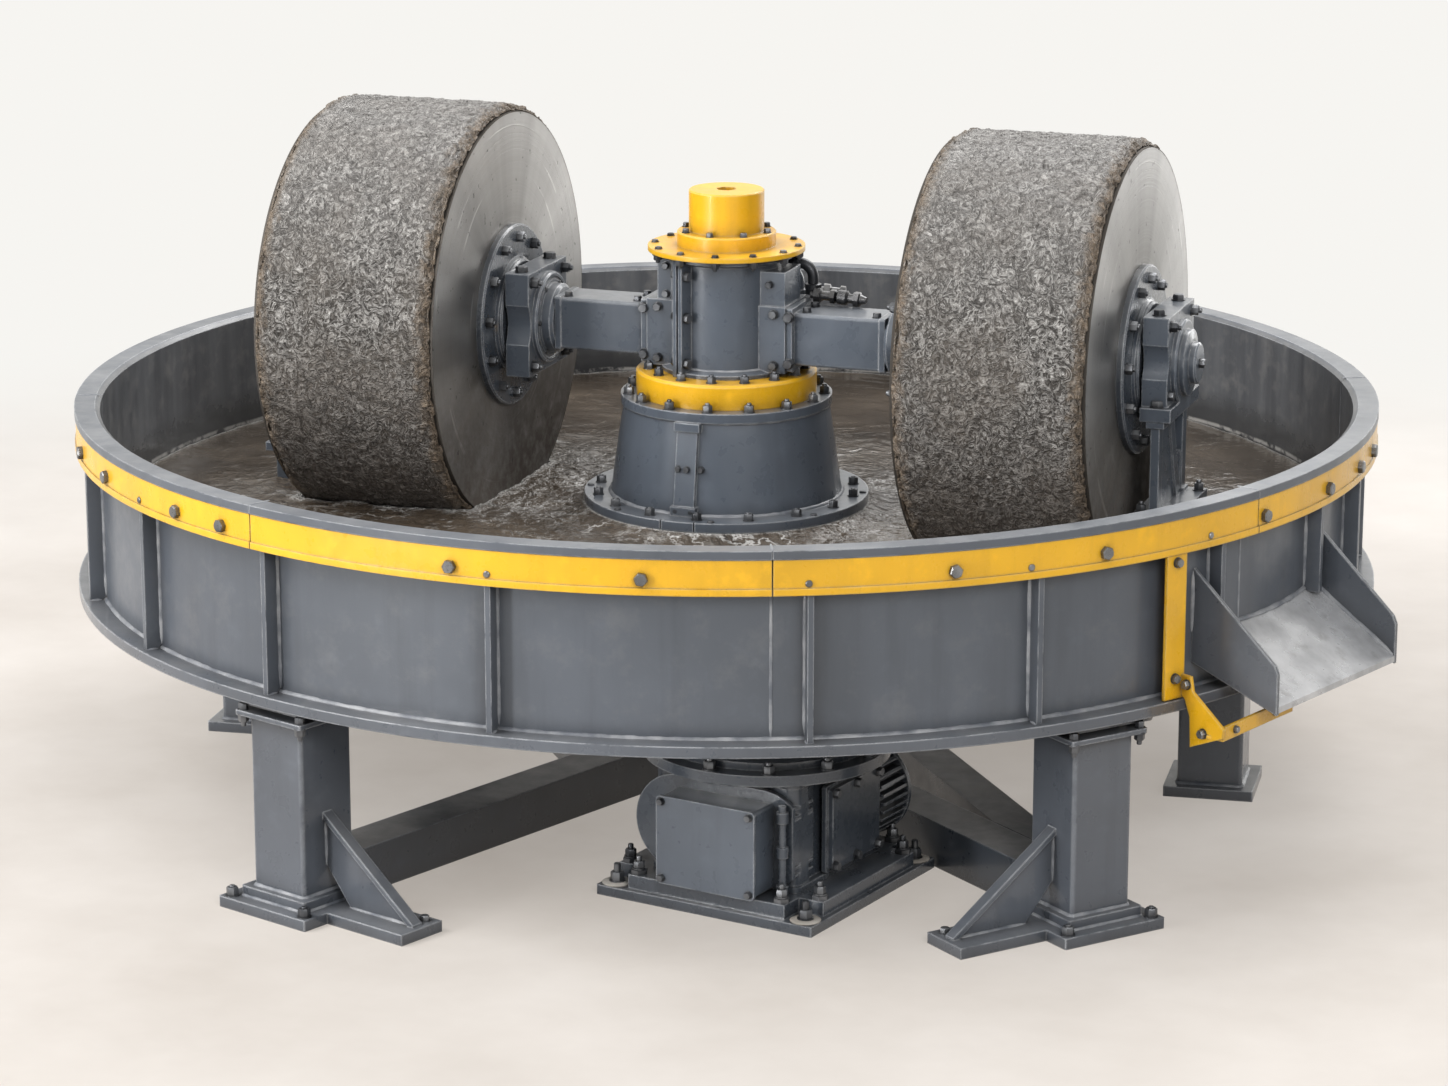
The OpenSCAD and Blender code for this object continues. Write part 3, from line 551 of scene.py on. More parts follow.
def build_dust(tree, given):
    """Mask = how much a face looks up, times a patchy noise."""
    normal = add(tree, "NewGeometry").outputs["Normal"]
    lying = remap(tree, add(tree, "SeparateXYZ", {0: normal}).outputs["Z"], 0.3, 0.9)
    patchy = remap(tree, noise(tree, object_place(tree), given["Scale"], 6.0, 0.6), 0.3, 0.72)
    return [times(tree, lying, patchy)]


def build_grain(tree, given):
    """Three noises of one scale, of nine times that scale and of ninety times."""
    place, scale = object_place(tree), given["Scale"]
    return [noise(tree, place, scale, 3.0, 0.5), noise(tree, place, times(tree, scale, 9.0), 5.0, 0.6),
            noise(tree, place, times(tree, scale, 90.0), 3.0, 0.6)]


def build_grime_and_shade(tree, given):
    """Mask = how closed in a place is within its reach, broken up by noise."""
    # Darkening by this mask is partly grime and partly painted shade where faces close in.
    openness = add(tree, "AmbientOcclusion", {"Distance": given["Reach"]}, samples=2).outputs["AO"]
    broken = remap(tree, noise(tree, object_place(tree), 16.0, 5.0, 0.6), 0.3, 0.65, 0.7, 1.0)
    return [times(tree, remap(tree, openness, 0.85, 0.30), broken)]


# The edge mask lets in a pale colour that is partly worn paint and partly a painted highlight; the grime
# mask darkens close places with grime and painted shade.
edge_wear_and_highlight = make_group("edge_wear_and_highlight", {"Width": 0.004, "Breakup": 14.0},
                       {"Mask": "Float", "Normal": "Vector"}, build_edge_wear_and_highlight)
settled_dust = make_group("settled_dust", {"Scale": 7.0}, {"Mask": "Float"}, build_dust)
grain = make_group("grain", {"Scale": 2.5},
                   {"Blotch": "Float", "Speck": "Float", "Pore": "Float"}, build_grain)
grime_and_shade = make_group("grime_and_shade", {"Reach": 0.045}, {"Mask": "Float"}, build_grime_and_shade)

# %% [markdown]
# ## Paint
# Machinery enamel is a satin coat that is never one flat colour: it is thicker here and chalkier there,
# it wears to a pale line along edges that is also a painted highlight, and dust lies on level faces,
# while grime and painted shade gather where parts close in. One function mixes all the paints, so that
# the grey steelwork and the yellow guards age alike. Large plates have a duller grey.

# %% What time, painted highlights and painted shade do to any paint
GREY = (0.090, 0.106, 0.130)
PLATE_GREY = (0.088, 0.098, 0.115)
YELLOW = (0.83, 0.445, 0.012)
DUST = (0.36, 0.345, 0.325)
SCUM = (0.50, 0.48, 0.45)
GRIME_AND_SHADE = (0.014, 0.013, 0.013)
WORN_AND_HIGHLIGHT_GREY = (0.60, 0.61, 0.63)


def weather(tree, base, dust_colour, dust, worn_and_highlight, chips_and_highlight, width, soot_and_shade):
    """Dust on level faces, then pale edges of wear and painted highlight, then grime and painted shade,
    each over the colour before it.
    """
    lying = use(tree, settled_dust)["Mask"]
    base = cover(tree, base, dust_colour, lying, dust)
    edge = use(tree, edge_wear_and_highlight, {"Width": width})
    base = cover(tree, base, worn_and_highlight, edge["Mask"], chips_and_highlight)
    return cover(tree, base, GRIME_AND_SHADE, use(tree, grime_and_shade)["Mask"], soot_and_shade), lying, edge["Normal"]


def sprayed_skin(tree, g, rounded):
    """The fine unevenness of sprayed enamel over edges that are a little rounded."""
    height = plus(tree, times(tree, g["Speck"], 0.5), times(tree, g["Pore"], 0.3))
    return bump(tree, height, 0.3, 0.002, rounded)


# %% Grey and yellow enamel
def make_paint(name, colour, worn_and_highlight, rough=0.31, dust=0.3, chips_and_highlight=0.9, coat=0.5):
    """Enamel in patches of darker and paler colour, with runs and specks, then weathered."""
    material, tree, shader = new_finish(name)
    g = use(tree, grain, {"Scale": 2.2})
    streaks = runs(tree, object_place(tree), (26.0, 26.0, 2.0))
    base = tint(tree, shade(colour, 0.8), shade(colour, 1.2), g["Blotch"], 0.3, 0.7)
    base = tint(tree, base, shade(colour, 0.6), streaks, 0.5, 0.75, 0.3)
    base = tint(tree, base, shade(colour, 1.5), g["Speck"], 0.56, 0.75, 0.3)
    base, lying, rounded = weather(tree, base, DUST, dust, worn_and_highlight, chips_and_highlight, 0.005, 0.8)
    uneven = remap(tree, g["Speck"], 0.3, 0.7, rough - 0.08, rough + 0.1)
    connect(tree, shader, Base_Color=base, Roughness=plus(tree, uneven, times(tree, lying, 0.2)),
            Normal=sprayed_skin(tree, g, rounded), Coat_Weight=coat, Coat_Roughness=0.12)
    return material


grey_paint = make_paint("grey_paint", GREY, (0.62, 0.63, 0.65))
plate_paint = make_paint("plate_paint", PLATE_GREY, WORN_AND_HIGHLIGHT_GREY)
dark_paint = make_paint("dark_paint", shade(GREY, 0.45), (0.36, 0.37, 0.39), dust=0.75, chips_and_highlight=0.8)
# The drive under the pan takes a darker copy of the grey enamel: painted shade.
shaded_drive_paint = make_paint("shaded_drive_paint", shade(GREY, 0.68), (0.50, 0.51, 0.53), rough=0.27, dust=0.25)
yellow_paint = make_paint("yellow_paint", YELLOW, (0.80, 0.62, 0.25), rough=0.30, dust=0.06, chips_and_highlight=0.6,
                          coat=0.25)

# %% [markdown]
# ## Pan wall
# Outside, the wall is plate grey, with dark runs below the band and faint dusty scuffs. Inside, slurry
# has scoured and stained it: it is dull and warm, darker and wet below the tide line, with a pale
# broken line of scum where the froth dries. The two sides are one plate, so the finish tells them
# apart by the distance from the pan's axis.

# %% Pan wall, inside and out
def make_pan_wall():
    """Outer and inner colours chosen by radius, the inner one wet and lined at the slurry's level."""
    material, tree, shader = new_finish("pan_wall")
    place = object_place(tree)
    split = add(tree, "SeparateXYZ", {0: place}).outputs
    radius = length(tree, vector(tree, split["X"], split["Y"]))
    inside = remap(tree, radius, wall_r - 0.003, wall_r - 0.0055)
    g = use(tree, grain, {"Scale": 2.2})
    streaks = runs(tree, place, (14.0, 14.0, 1.3))
    outer = tint(tree, shade(PLATE_GREY, 0.88), shade(PLATE_GREY, 1.18), g["Blotch"], 0.3, 0.7)
    outer = tint(tree, outer, shade(PLATE_GREY, 1.5), g["Speck"], 0.56, 0.75, 0.22)
    outer = tint(tree, outer, shade(PLATE_GREY, 0.55), streaks, 0.50, 0.72, 0.34)
    outer = tint(tree, outer, shade(DUST, 0.7), noise(tree, place, 9.0, 6.0, 0.7), 0.52, 0.70, 0.15)
    inner = tint(tree, shade((0.07, 0.074, 0.082)), (0.145, 0.15, 0.158), streaks, 0.3, 0.7)
    inner = tint(tree, inner, shade(DUST, 0.8), g["Speck"], 0.5, 0.72, 0.35)
    ragged = times(tree, minus(tree, noise(tree, place, 5.0, 6.0, 0.65), 0.5), 0.09)
    wet = remap(tree, minus(tree, plus(tree, split["Z"], ragged), slurry_z + 0.075), 0.03, -0.03)
    inner = cover(tree, inner, (0.042, 0.042, 0.043), wet, 0.8)
    tide = minus(tree, plus(tree, split["Z"], times(tree, ragged, 0.12)), slurry_z + 0.010)
    tide_line = remap(tree, math(tree, "ABSOLUTE", tide), 0.007, 0.002)
    broken = remap(tree, noise(tree, place, 22.0, 4.0, 0.6), 0.40, 0.52)
    inner = cover(tree, inner, SCUM, tide_line, broken)
    colour = mix(tree, inside, outer, inner)
    colour, _, rounded = weather(tree, colour, (0.34, 0.34, 0.345), 0.4, WORN_AND_HIGHLIGHT_GREY, 0.75, 0.004, 0.7)
    rough = plus(tree, remap(tree, g["Speck"], 0.3, 0.7, 0.30, 0.46), times(tree, wet, inside, -0.20))
    connect(tree, shader, Base_Color=colour, Roughness=rough, Normal=sprayed_skin(tree, g, rounded),
            Coat_Weight=0.2, Coat_Roughness=0.18)
    return material


pan_wall = make_pan_wall()

# %% [markdown]
# ## Bare metals and stone
# Fasteners are darkened steel. The roller side discs are turned plates: fine circular scratches make
# highlights that fan out from the hub, which an anisotropic shader with a tangent round the axle does
# as light does it, and broad bands of painted reflection in the colour add to them. The chute floor is
# scoured bright. The tyres are artificial stone, grey chips with brown dust and painted shade between them.

# %% Fastener steel, weld metal and pale washers
def make_metal(name, dark, light, rough, metallic, scale=14.0):
    """Metal blotched between two tones, with grime and painted shade where pieces meet."""
    material, tree, shader = new_finish(name)
    g = use(tree, grain, {"Scale": scale})
    colour = tint(tree, shade(dark), light, g["Blotch"], 0.35, 0.65)
    colour = cover(tree, colour, GRIME_AND_SHADE, use(tree, grime_and_shade, {"Reach": 0.02})["Mask"], 0.7)
    roughness = remap(tree, g["Speck"], 0.3, 0.7, rough - 0.08, rough + 0.1)
    connect(tree, shader, Base_Color=colour, Roughness=roughness, Metallic=metallic,
            Normal=bump(tree, g["Speck"], 0.3, 0.0008))
    return material


bolt_steel = make_metal("bolt_steel", (0.06, 0.063, 0.07), (0.20, 0.205, 0.215), 0.36, 0.75)
black_steel = make_metal("black_steel", (0.02, 0.021, 0.024), (0.06, 0.062, 0.068), 0.36, 0.6)
pale_washer = make_metal("pale_washer", (0.42, 0.38, 0.33), (0.62, 0.58, 0.52), 0.6, 0.0)
bright_steel = make_metal("bright_steel", (0.10, 0.10, 0.105), (0.26, 0.26, 0.26), 0.30, 0.8)
weld_grey = make_metal("weld_grey", (0.12, 0.13, 0.15), (0.31, 0.315, 0.325), 0.38, 0.0, scale=20.0)


# %% Turned discs
def make_disc_steel():
    """Turned steel: noise of the radius gives scratches, noise of the direction gives broad bands of
    painted reflection.
    """
    material, tree, shader = new_finish("disc_steel")
    place = object_place(tree)
    split = add(tree, "SeparateXYZ", {0: place}).outputs
    up = minus(tree, split["Z"], axle_z)
    spoke = vector(tree, split["Y"], up)
    radius = length(tree, spoke)
    direction = add(tree, "VectorMath", {0: spoke}, operation="NORMALIZE").outputs[0]
    g = use(tree, grain, {"Scale": 3.0})
    scratch = noise(tree, vector(tree, times(tree, radius, 240.0)), 1.0, 4.0, 0.7)
    broad = noise(tree, vector(tree, times(tree, radius, 22.0)), 1.0, 3.0)
    # Broad pale and dark bands round the hub, set by direction: a painted reflection of the turned steel.
    painted_reflection_bands = noise(tree, direction, 2.6, 3.0, 0.6)
    colour = tint(tree, shade((0.205, 0.198, 0.188)), (0.34, 0.33, 0.317), painted_reflection_bands, 0.3, 0.7)
    colour = tint(tree, colour, (0.17, 0.158, 0.145), broad, 0.3, 0.7, 0.35)
    wide_rings = vector(tree, times(tree, radius, 75.0))
    arcs = add(tree, "VectorMath", {0: wide_rings, 1: direction}, operation="ADD").outputs[0]
    arc = remap(tree, noise(tree, arcs, 1.0, 2.0, 0.5), 0.62, 0.66)
    here = remap(tree, noise(tree, place, 4.5, 3.0, 0.6), 0.50, 0.56)
    colour = cover(tree, colour, (0.50, 0.485, 0.465), times(tree, arc, here), 0.6)
    stain = times(tree, remap(tree, up, 0.02, -0.40), remap(tree, g["Speck"], 0.3, 0.6, 0.35, 1.0))
    colour = cover(tree, colour, (0.085, 0.068, 0.055), stain, 0.85)
    pits = remap(tree, noise(tree, place, 55.0, 2.0, 0.5), 0.69, 0.74)
    colour = mix(tree, pits, colour, shade((0.07, 0.065, 0.06)))
    rim = remap(tree, radius, disc_edge - 0.0030, disc_edge - 0.0012)
    colour = mix(tree, rim, colour, shade((0.09, 0.08, 0.07)))
    rough = remap(tree, scratch, 0.3, 0.7, 0.25, 0.40)
    rough = plus(tree, rough, times(tree, math(tree, "MAXIMUM", stain, rim), 0.3))
    height = minus(tree, plus(tree, scratch, arc), times(tree, pits, 2.0))
    around = add(tree, "Tangent", direction_type="RADIAL", axis="X").outputs[0]
    connect(tree, shader, Base_Color=colour, Roughness=rough, Normal=bump(tree, height, 0.14, 0.001),
            Metallic=0.8, Anisotropic=0.7, Tangent=around)
    return material


disc_steel = make_disc_steel()


# %% Scoured plate
def make_worn_steel():
    """Plate scoured in cloudy patches, with streaks that follow the chute's fall."""
    material, tree, shader = new_finish("worn_steel")
    place = object_place(tree)
    g = use(tree, grain, {"Scale": 3.2})
    down_chute = {"Vector": place, "Rotation": (0, 0, np.radians(90 - chute_az)), "Scale": (5.0, 30.0, 5.0)}
    streak = noise(tree, add(tree, "Mapping", down_chute).outputs[0], 1.0, 5.0, 0.65)
    cloud = noise(tree, place, 7.0, 4.0, 0.6)
    colour = tint(tree, shade((0.36, 0.362, 0.37)), (0.66, 0.662, 0.67), cloud, 0.35, 0.65)
    colour = tint(tree, colour, (0.52, 0.52, 0.525), streak, 0.45, 0.75, 0.3)
    colour = tint(tree, colour, (0.17, 0.16, 0.15), g["Speck"], 0.58, 0.72, 0.4)
    connect(tree, shader, Base_Color=colour, Roughness=remap(tree, cloud, 0.3, 0.7, 0.36, 0.22),
            Normal=bump(tree, cloud, 0.25, 0.002), Metallic=0.4)
    return material


worn_steel = make_worn_steel()


# %% Tyre stone
def make_tyre_stone():
    """Each facet's own tone under curled flakes, grit and mud, paler towards the top. The flakes' dark
    gaps and pale crests are painted shade and painted highlights, the darker lower half is mud and
    painted shade, and the paler top is a painted highlight.
    """
    material, tree, shader = new_finish("tyre_stone")
    place = object_place(tree)
    flake = math(tree, "PINGPONG", times(tree, noise(tree, place, 36.0, 2.0, 0.55, 2.4), 6.5), 1.0)
    small = noise(tree, place, 120.0, 5.0, 0.7)
    large = noise(tree, place, 5.0, 3.0, 0.5)
    height = minus(tree, add(tree, "SeparateXYZ", {0: place}).outputs["Z"], axle_z)
    colour = mix(tree, point_value(tree, "tone"), shade((0.225, 0.211, 0.194)), shade((0.40, 0.38, 0.354)))
    # Dark flake gaps and pale flake crests: painted shade and painted highlights on the chip relief.
    colour = tint(tree, colour, (0.034, 0.029, 0.024), flake, 0.66, 0.20, 0.95)
    colour = tint(tree, colour, (0.70, 0.675, 0.64), flake, 0.85, 0.99, 0.85)
    colour = tint(tree, colour, (0.34, 0.315, 0.285), small, 0.48, 0.72, 0.6)
    colour = tint(tree, colour, (0.08, 0.075, 0.07), small, 0.44, 0.3, 0.6)
    colour = tint(tree, colour, (0.20, 0.17, 0.14), large, 0.42, 0.6, 0.4)
    # Darker and browner below the axle, partly mud and partly painted shade; paler above it, a painted
    # highlight.
    colour = tint(tree, colour, (0.115, 0.088, 0.066), height, 0.1, -0.45, 0.7)
    colour = tint(tree, colour, (0.54, 0.515, 0.49), height, 0.15, 0.52, 0.4)
    gritty = remap(tree, small, 0.3, 0.6, 0.4, 0.95)
    colour = cover(tree, colour, (0.27, 0.20, 0.135), point_value(tree, "shoulder"), gritty)
    # Dark gaps between the stone facets: painted shade.
    colour = cover(tree, colour, (0.05, 0.042, 0.036), point_value(tree, "crevice_shade"), 0.7)
    relief = plus(tree, times(tree, flake, 0.8), small)
    connect(tree, shader, Base_Color=colour, Roughness=remap(tree, small, 0.3, 0.7, 0.40, 0.80),
            Normal=bump(tree, relief, 1.0, 0.008))
    return material


tyre_stone = make_tyre_stone()


# %% Slurry, wet and frothy
def make_slurry_wet():
    """Clay-coloured water, froth where the points say so, and pale threads of painted glints on stirred
    ripples.
    """
    material, tree, shader = new_finish("slurry_wet")
    place = object_place(tree)
    froth, stirred = point_value(tree, "froth"), point_value(tree, "stir")
    fine = noise(tree, place, 45.0, 4.0, 0.6)
    bubbles = add(tree, "TexVoronoi", {"Vector": place, "Scale": 160.0}).outputs["Distance"]
    colour = tint(tree, shade((0.042, 0.031, 0.022)), (0.120, 0.094, 0.070),
                  noise(tree, place, 3.5, 6.0, 0.65), 0.32, 0.68)
    lacy = times(tree, froth, remap(tree, plus(tree, bubbles, fine), 0.62, 0.95, 0.45, 1.0))
    colour = mix(tree, lacy, colour, shade((0.52, 0.50, 0.47)))
    # Pale threads on the ripple crests where the water is stirred: painted glints.
    off_level = math(tree, "ABSOLUTE", minus(tree, noise(tree, place, 15.0, 4.0, 0.6), 0.5))
    thread = minus(tree, 1.0, remap(tree, off_level, 0.008, 0.030))
    patch = remap(tree, noise(tree, place, 6.5, 2.0, 0.5), 0.46, 0.60)
    painted_glints = times(tree, thread, patch, math(tree, "POWER", stirred, 2.2))
    colour = cover(tree, colour, (0.62, 0.60, 0.57), painted_glints, 0.8)
    ripple = times(tree, noise(tree, place, 11.0, 3.0, 0.55, 1.4), 2.2)
    height = plus(tree, plus(tree, fine, times(tree, bubbles, froth, 1.2)), ripple)
    connect(tree, shader, Base_Color=colour, Roughness=plus(tree, 0.04, times(tree, lacy, 0.5)),
            Normal=bump(tree, times(tree, height, stirred), 0.9, 0.014))
    return material


slurry_wet = make_slurry_wet()

# %% Finish on every node
finishes = {name: grey_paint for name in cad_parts}
for name in finishes:
    if name.startswith("wall_"):
        finishes[name] = pan_wall
    elif name.endswith("_disc"):
        finishes[name] = disc_steel
    elif name.endswith("_tread"):
        finishes[name] = tyre_stone
    elif "leg" in name or name.startswith("chute_") or name == "pan_floor":
        finishes[name] = plate_paint
    elif name in ("guard_band", "bearing_ring", "column_head"):
        finishes[name] = yellow_paint
    elif name in ("gear_case", "drive_flange", "drive_base_plate", "inspection_cover", "conduit",
                  "left_axle", "right_axle"):
        finishes[name] = shaded_drive_paint
finishes.update(chute_brace=yellow_paint, chute_floor=worn_steel, floor_liner=worn_steel,
                floor_beams=dark_paint)
for name, finish in finishes.items():
    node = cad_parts[name]
    node.data.materials.clear()
    node.data.materials.append(finish)
print("finishes given to", len(finishes), "nodes")

# %% [markdown]
# ## Stone tyres
# The model holds the tyre as a clean ring. The real one is cast from stone chips that stand proud
# with gravel lost between them, and its shoulders are broken away. The surface is a grid of angle
# round the axle by distance along the tyre's profile, pushed inwards by stone facets of two sizes,
# never outwards, so the roller keeps its running gap.

# %% The tyre's worn outline
def along_path(points, count=None, step=None):
    """Points evenly spaced along a broken line: each coordinate looked up by the distance walked."""
    walked = np.concatenate([[0], np.cumsum(np.linalg.norm(np.diff(points, axis=0), axis=1))])
    s = np.linspace(0, walked[-1], count) if count else np.arange(0, walked[-1] - step / 2, step)
    return np.stack([np.interp(s, walked, points[:, k]) for k in (0, 1)], -1)


def tyre_profile(rows):
    """(x from the inner face, radius) along the outline, its inward normals, and its two hidden ends."""
    half = np.array([(0.010, 0.20), (0.010, disc_edge), (0.002, disc_edge + 0.001),
                     (0.0055, tyre_r - 0.012), (0.016, tyre_r - 0.004), (0.030, tyre_r)])
    outline = np.concatenate([half, (half * [-1, 1] + [tyre_out - tyre_in, 0])[::-1]])
    profile = along_path(outline[1:-1], count=rows)
    ahead = np.gradient(profile, axis=0)
    ahead /= np.linalg.norm(ahead, axis=1, keepdims=True)
    return profile, np.stack([ahead[:, 1], -ahead[:, 0]], -1), outline[[0, -1]]


print("outline of a tyre, first points:", tyre_profile(128)[0][:3].round(4).tolist())


# %% Tyres with chipped faces
def make_tyre(side, turn_count, rows):
    """x = side * (tyre_in + distance), y = r sin a, z = axle_z + r cos a, pushed inwards by the facets."""
    profile, inward, ends = tyre_profile(rows)
    a = round_angles(turn_count)
    x = np.broadcast_to(profile[:, 0], (turn_count, rows))
    r = np.broadcast_to(profile[:, 1], (turn_count, rows))
    where = np.stack([x, r * np.sin(a)[:, None], r * np.cos(a)[:, None]], -1).reshape(-1, 3)
    key = 20 if side > 0 else 60
    warp = np.stack([smooth_noise(where, 0.034, key + k) for k in (11, 12, 13)], -1) * 0.011
    big, tone, gap = stone_facets((where + warp) * [1.0, 0.8, 0.8], 0.021, key)
    small, _, small_gap = stone_facets(where + warp * 2, 0.0095, key + 30)
    from_side = np.minimum(where[:, 0], tyre_out - tyre_in - where[:, 0])
    shoulder = np.clip(1.25 - from_side / 0.032 + 0.45 * big, 0, 1)
    edge = np.clip(1 - gap / 0.16, 0, 1)
    depth = 0.0034 - 0.0026 * big - 0.0012 * small + 0.0018 * edge + 0.004 * shoulder * (0.6 - big)
    depth = np.clip(depth, 0, 0.012) * np.clip(from_side / 0.004, 0, 1)
    push = inward[None] * depth.reshape(turn_count, rows, 1)

    def with_ends(inner, first, last):
        """The grid's values with a column of constants on each side."""
        column = np.ones((turn_count, 1))
        return np.concatenate([column * first, inner.reshape(turn_count, rows), column * last], 1)

    x, r = with_ends(x + push[..., 0], *ends[:, 0]), with_ends(r + push[..., 1], *ends[:, 1])
    points = np.stack([side * (tyre_in + x), r * np.sin(a)[:, None], axle_z + r * np.cos(a)[:, None]], -1)
    quads = grid_faces(turn_count, rows + 2, wrap_u=True, wrap_v=True)[:, ::-side]
    # This value darkens the gaps between facets in the finish: painted shade.
    crevice_shade = np.clip(edge * 0.9 - small_gap, 0, 1)
    values = {"tone": with_ends(tone, 0.5, 0.5).ravel(), "crevice_shade": with_ends(crevice_shade, 0, 0).ravel(),
              "shoulder": with_ends(shoulder, 1, 1).ravel()}
    name = "right" if side > 0 else "left"
    piece = make_piece(name + "_tyre", (points.reshape(-1, 3), quads, NO_TRIS), tyre_stone,
                       name + "_roller", 60, values)
    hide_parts(name + "_tread")


for side in (1, -1):
    make_tyre(side, 700, 128)

# %% [markdown]
# ## Bolts
# Fasteners are grouped by the assembly that they hold, so each group is one piece on one body. Even
# circles come from `every`; the guard band's bolts sit at uneven steps, where fitters found room
# between the ribs, so their azimuths are listed.

# %% Guard band and rim
band_azimuths = np.array([-55.1, -45.9, -32.2, -26.0, -3.0, 12.4, 36.9, 50.2, 68.4, 79.4, 87.8, 93.9])
out = facing(np.concatenate([band_azimuths, band_azimuths + 180, [109.0, 289.0]]))[0]
band_bolts = copies(bolt(0.027, 0.013, False), out * band_face + UP * (band_low + 0.036), out,
                    mixed_turns(len(out), 3))
screw_out = facing([-38.5, 0.1, 25.3, 43.4, 61.4, 141.5, 180.1, 205.3, 223.4, 241.4])[0]
band_screws = copies(screw(0.016), screw_out * band_face + UP * (band_low + 0.026), screw_out)
make_piece("band_bolts", join([band_bolts, band_screws]), bright_steel)

# %% Bolts of the drum, arms and cone strip
FORWARD = (0, -1, 0)
cone_foot_r = 0.288


def drum_flange_bolts():
    """Bolt heads on both outer faces of the drum's two split flanges, at three heights."""
    shapes = []
    for azimuth in (-25.0, 155.0):
        out, along = facing(azimuth)
        for side in (-1, 1):
            heights = np.array([head_z - 0.045, head_z - 0.148, drum_z + 0.034])
            places = out * 0.159 + along * side * 0.015 + UP * heights[:, None]
            shapes.append(copies(bolt(0.021), places, along * side, mixed_turns(3, 5 + side)))
    return join(shapes)


def arm_bolts():
    """Bolts on the arm's end plates, saddles and tube top; the right-hand set, mirrored."""
    x, top = low("right_arm", X), axle_z + 0.065
    front = [(x + 0.008, -0.079, axle_z + s * 0.058) for s in (-1, 1)]
    saddle_front = [(x - 0.030, -0.084, axle_z + s * 0.064) for s in (-1, 1)]
    back = [(px, -py, pz) for px, py, pz in front + saddle_front]
    tops = [(x + 0.040, -0.034, top), (x + 0.040, 0.034, top), (high("right_arm", X) - 0.028, -0.040, top)]
    return both_sides(join([
        copies(bolt(0.022), front, FORWARD, 12), copies(bolt(0.019), saddle_front, FORWARD, 40),
        copies(bolt(0.020), back, (0, 1, 0), 25), copies(bolt(0.018), tops, UP, 33)]))


def strip_bolts():
    """Screws on the cone's joint strip: the cone's radius falls evenly from foot to neck."""
    out, along = facing(-2.0)
    height = (foot_top + cone_top) / 2 - 0.012
    r = cone_foot_r - 0.032 * (height - foot_top) / (cone_top - 0.024 - foot_top)
    places = np.stack([out * (r + 0.007) + along * t + UP * height for t in (-0.019, 0.004)]
                      + [out * (r - 0.0015) + along * 0.037 + UP * height])
    ends = np.stack([out * (r + rise) + along * t + UP * z
                     for z, rise in ((foot_top + 0.011, 0.026), (cone_top - 0.035, -0.004))
                     for t in (-0.02, 0.02)])
    return join([copies(bolt(0.014), places, out, 20), copies(screw(0.014), ends, out)])


# %% Column bolts
crown_az = every(24, 8)
box_spots = [(0.095, -0.080, head_z - 0.062), (0.138, -0.080, head_z - 0.066),
             (-0.130, -0.080, head_z - 0.035), (-0.130, -0.080, head_z - 0.105)]
column_bolts = [
    bolt_ring(bolt(0.015, 0.005), every(30, 10), 0.178, head_z + 0.012),  # head disc
    bolt_ring(nut(0.019), every(30, 10), 0.180, head_z, -UP),  # under the head disc
    bolt_ring(bolt(0.015, 0.009), every(45, -3.5), 0.108, head_z + 0.048),  # round the cap
    bolt_ring(nut(0.020, 0.25), crown_az, 0.194, drum_z),  # bearing ring
    bolt_ring(nut(0.022, 0.25), crown_az, 0.2435, cone_top),  # cone's neck
    bolt_ring(nut(0.021, 0.1), every(22.5, 6), 0.322, foot_top),  # cone's foot
    bolt_ring(screw(0.018), every(45, 12.5), 0.341, foot_top),
    drum_flange_bolts(), arm_bolts(), strip_bolts(),
    copies(bolt(0.016), box_spots, FORWARD, 18),  # side boxes of the drum
]
make_piece("column_bolts", join(column_bolts), bolt_steel)


# %% Bearings and pedestals
def across_axle(shape, x, spots, toward, key=0):
    """A shape at (x, y, axle height + z) for each (y, z), looking along +X or -X."""
    places = [(x, y, axle_z + z) for y, z in spots]
    return copies(shape, places, (toward, 0, 0), mixed_turns(len(places), key))


def round_axle(shape, x, radius, count, toward, start=0.0, key=0):
    """A shape on an upright circle about the axle."""
    a = np.radians(start + np.arange(count) * 360 / count)
    places = np.stack([x + 0 * a, radius * np.sin(a), axle_z + radius * np.cos(a)], -1)
    return copies(shape, places, (toward, 0, 0), mixed_turns(count, key))


block_in = high("right_inner_bearing", X) - 0.062
block_out, cover_end = low("right_outer_bearing", X) + 0.062, high("right_outer_bearing", X)
foot_z = low("right_outer_bearing", Z)
base_z = floor_top + 0.236
corners = [(y, z) for y in (-0.106, 0.106) for z in (-0.106, 0.106)]
upper = [(y, 0.106) for y in (-0.106, 0.106)]
lower = [(y, -0.060) for y in (-0.112, 0.112)]
inner_tops = [(block_in + 0.031, y, axle_z + 0.130) for y in (-0.096, 0.096)]
outer_tops = [(block_out - 0.031, y, axle_z + 0.130) for y in (-0.096, 0.096)]
foot_spots = [(block_out - 0.024, y, foot_z + 0.033) for y in (-0.128, 0.128)]
base_spots = [(x, y, base_z) for x in (1.090, 1.172) for y in (-0.126, 0.126)]
bearing_bolts = both_sides(join([
    across_axle(nut(0.023), block_in, corners, -1, 3),
    across_axle(nut(0.022), block_out, upper, 1, 4),
    across_axle(bolt(0.020), block_out, lower, 1, 5),
    copies(bolt(0.027, 0.012), inner_tops, UP, 14),
    copies(bolt(0.026, 0.012), outer_tops, UP, 8),
    round_axle(screw(0.013), block_in - 0.014, 0.091, 6, -1, 30),
    round_axle(bolt(0.013), cover_end - 0.034, 0.068, 6, 1, 15),
    copies(bolt(0.026), foot_spots, UP, 20),
    copies(nut(0.022), base_spots, UP, 10),
    copies(bolt(0.020), [(cover_end, 0.0, axle_z)], (1, 0, 0), 7),
]))
make_piece("bearing_bolts", bearing_bolts, bolt_steel)

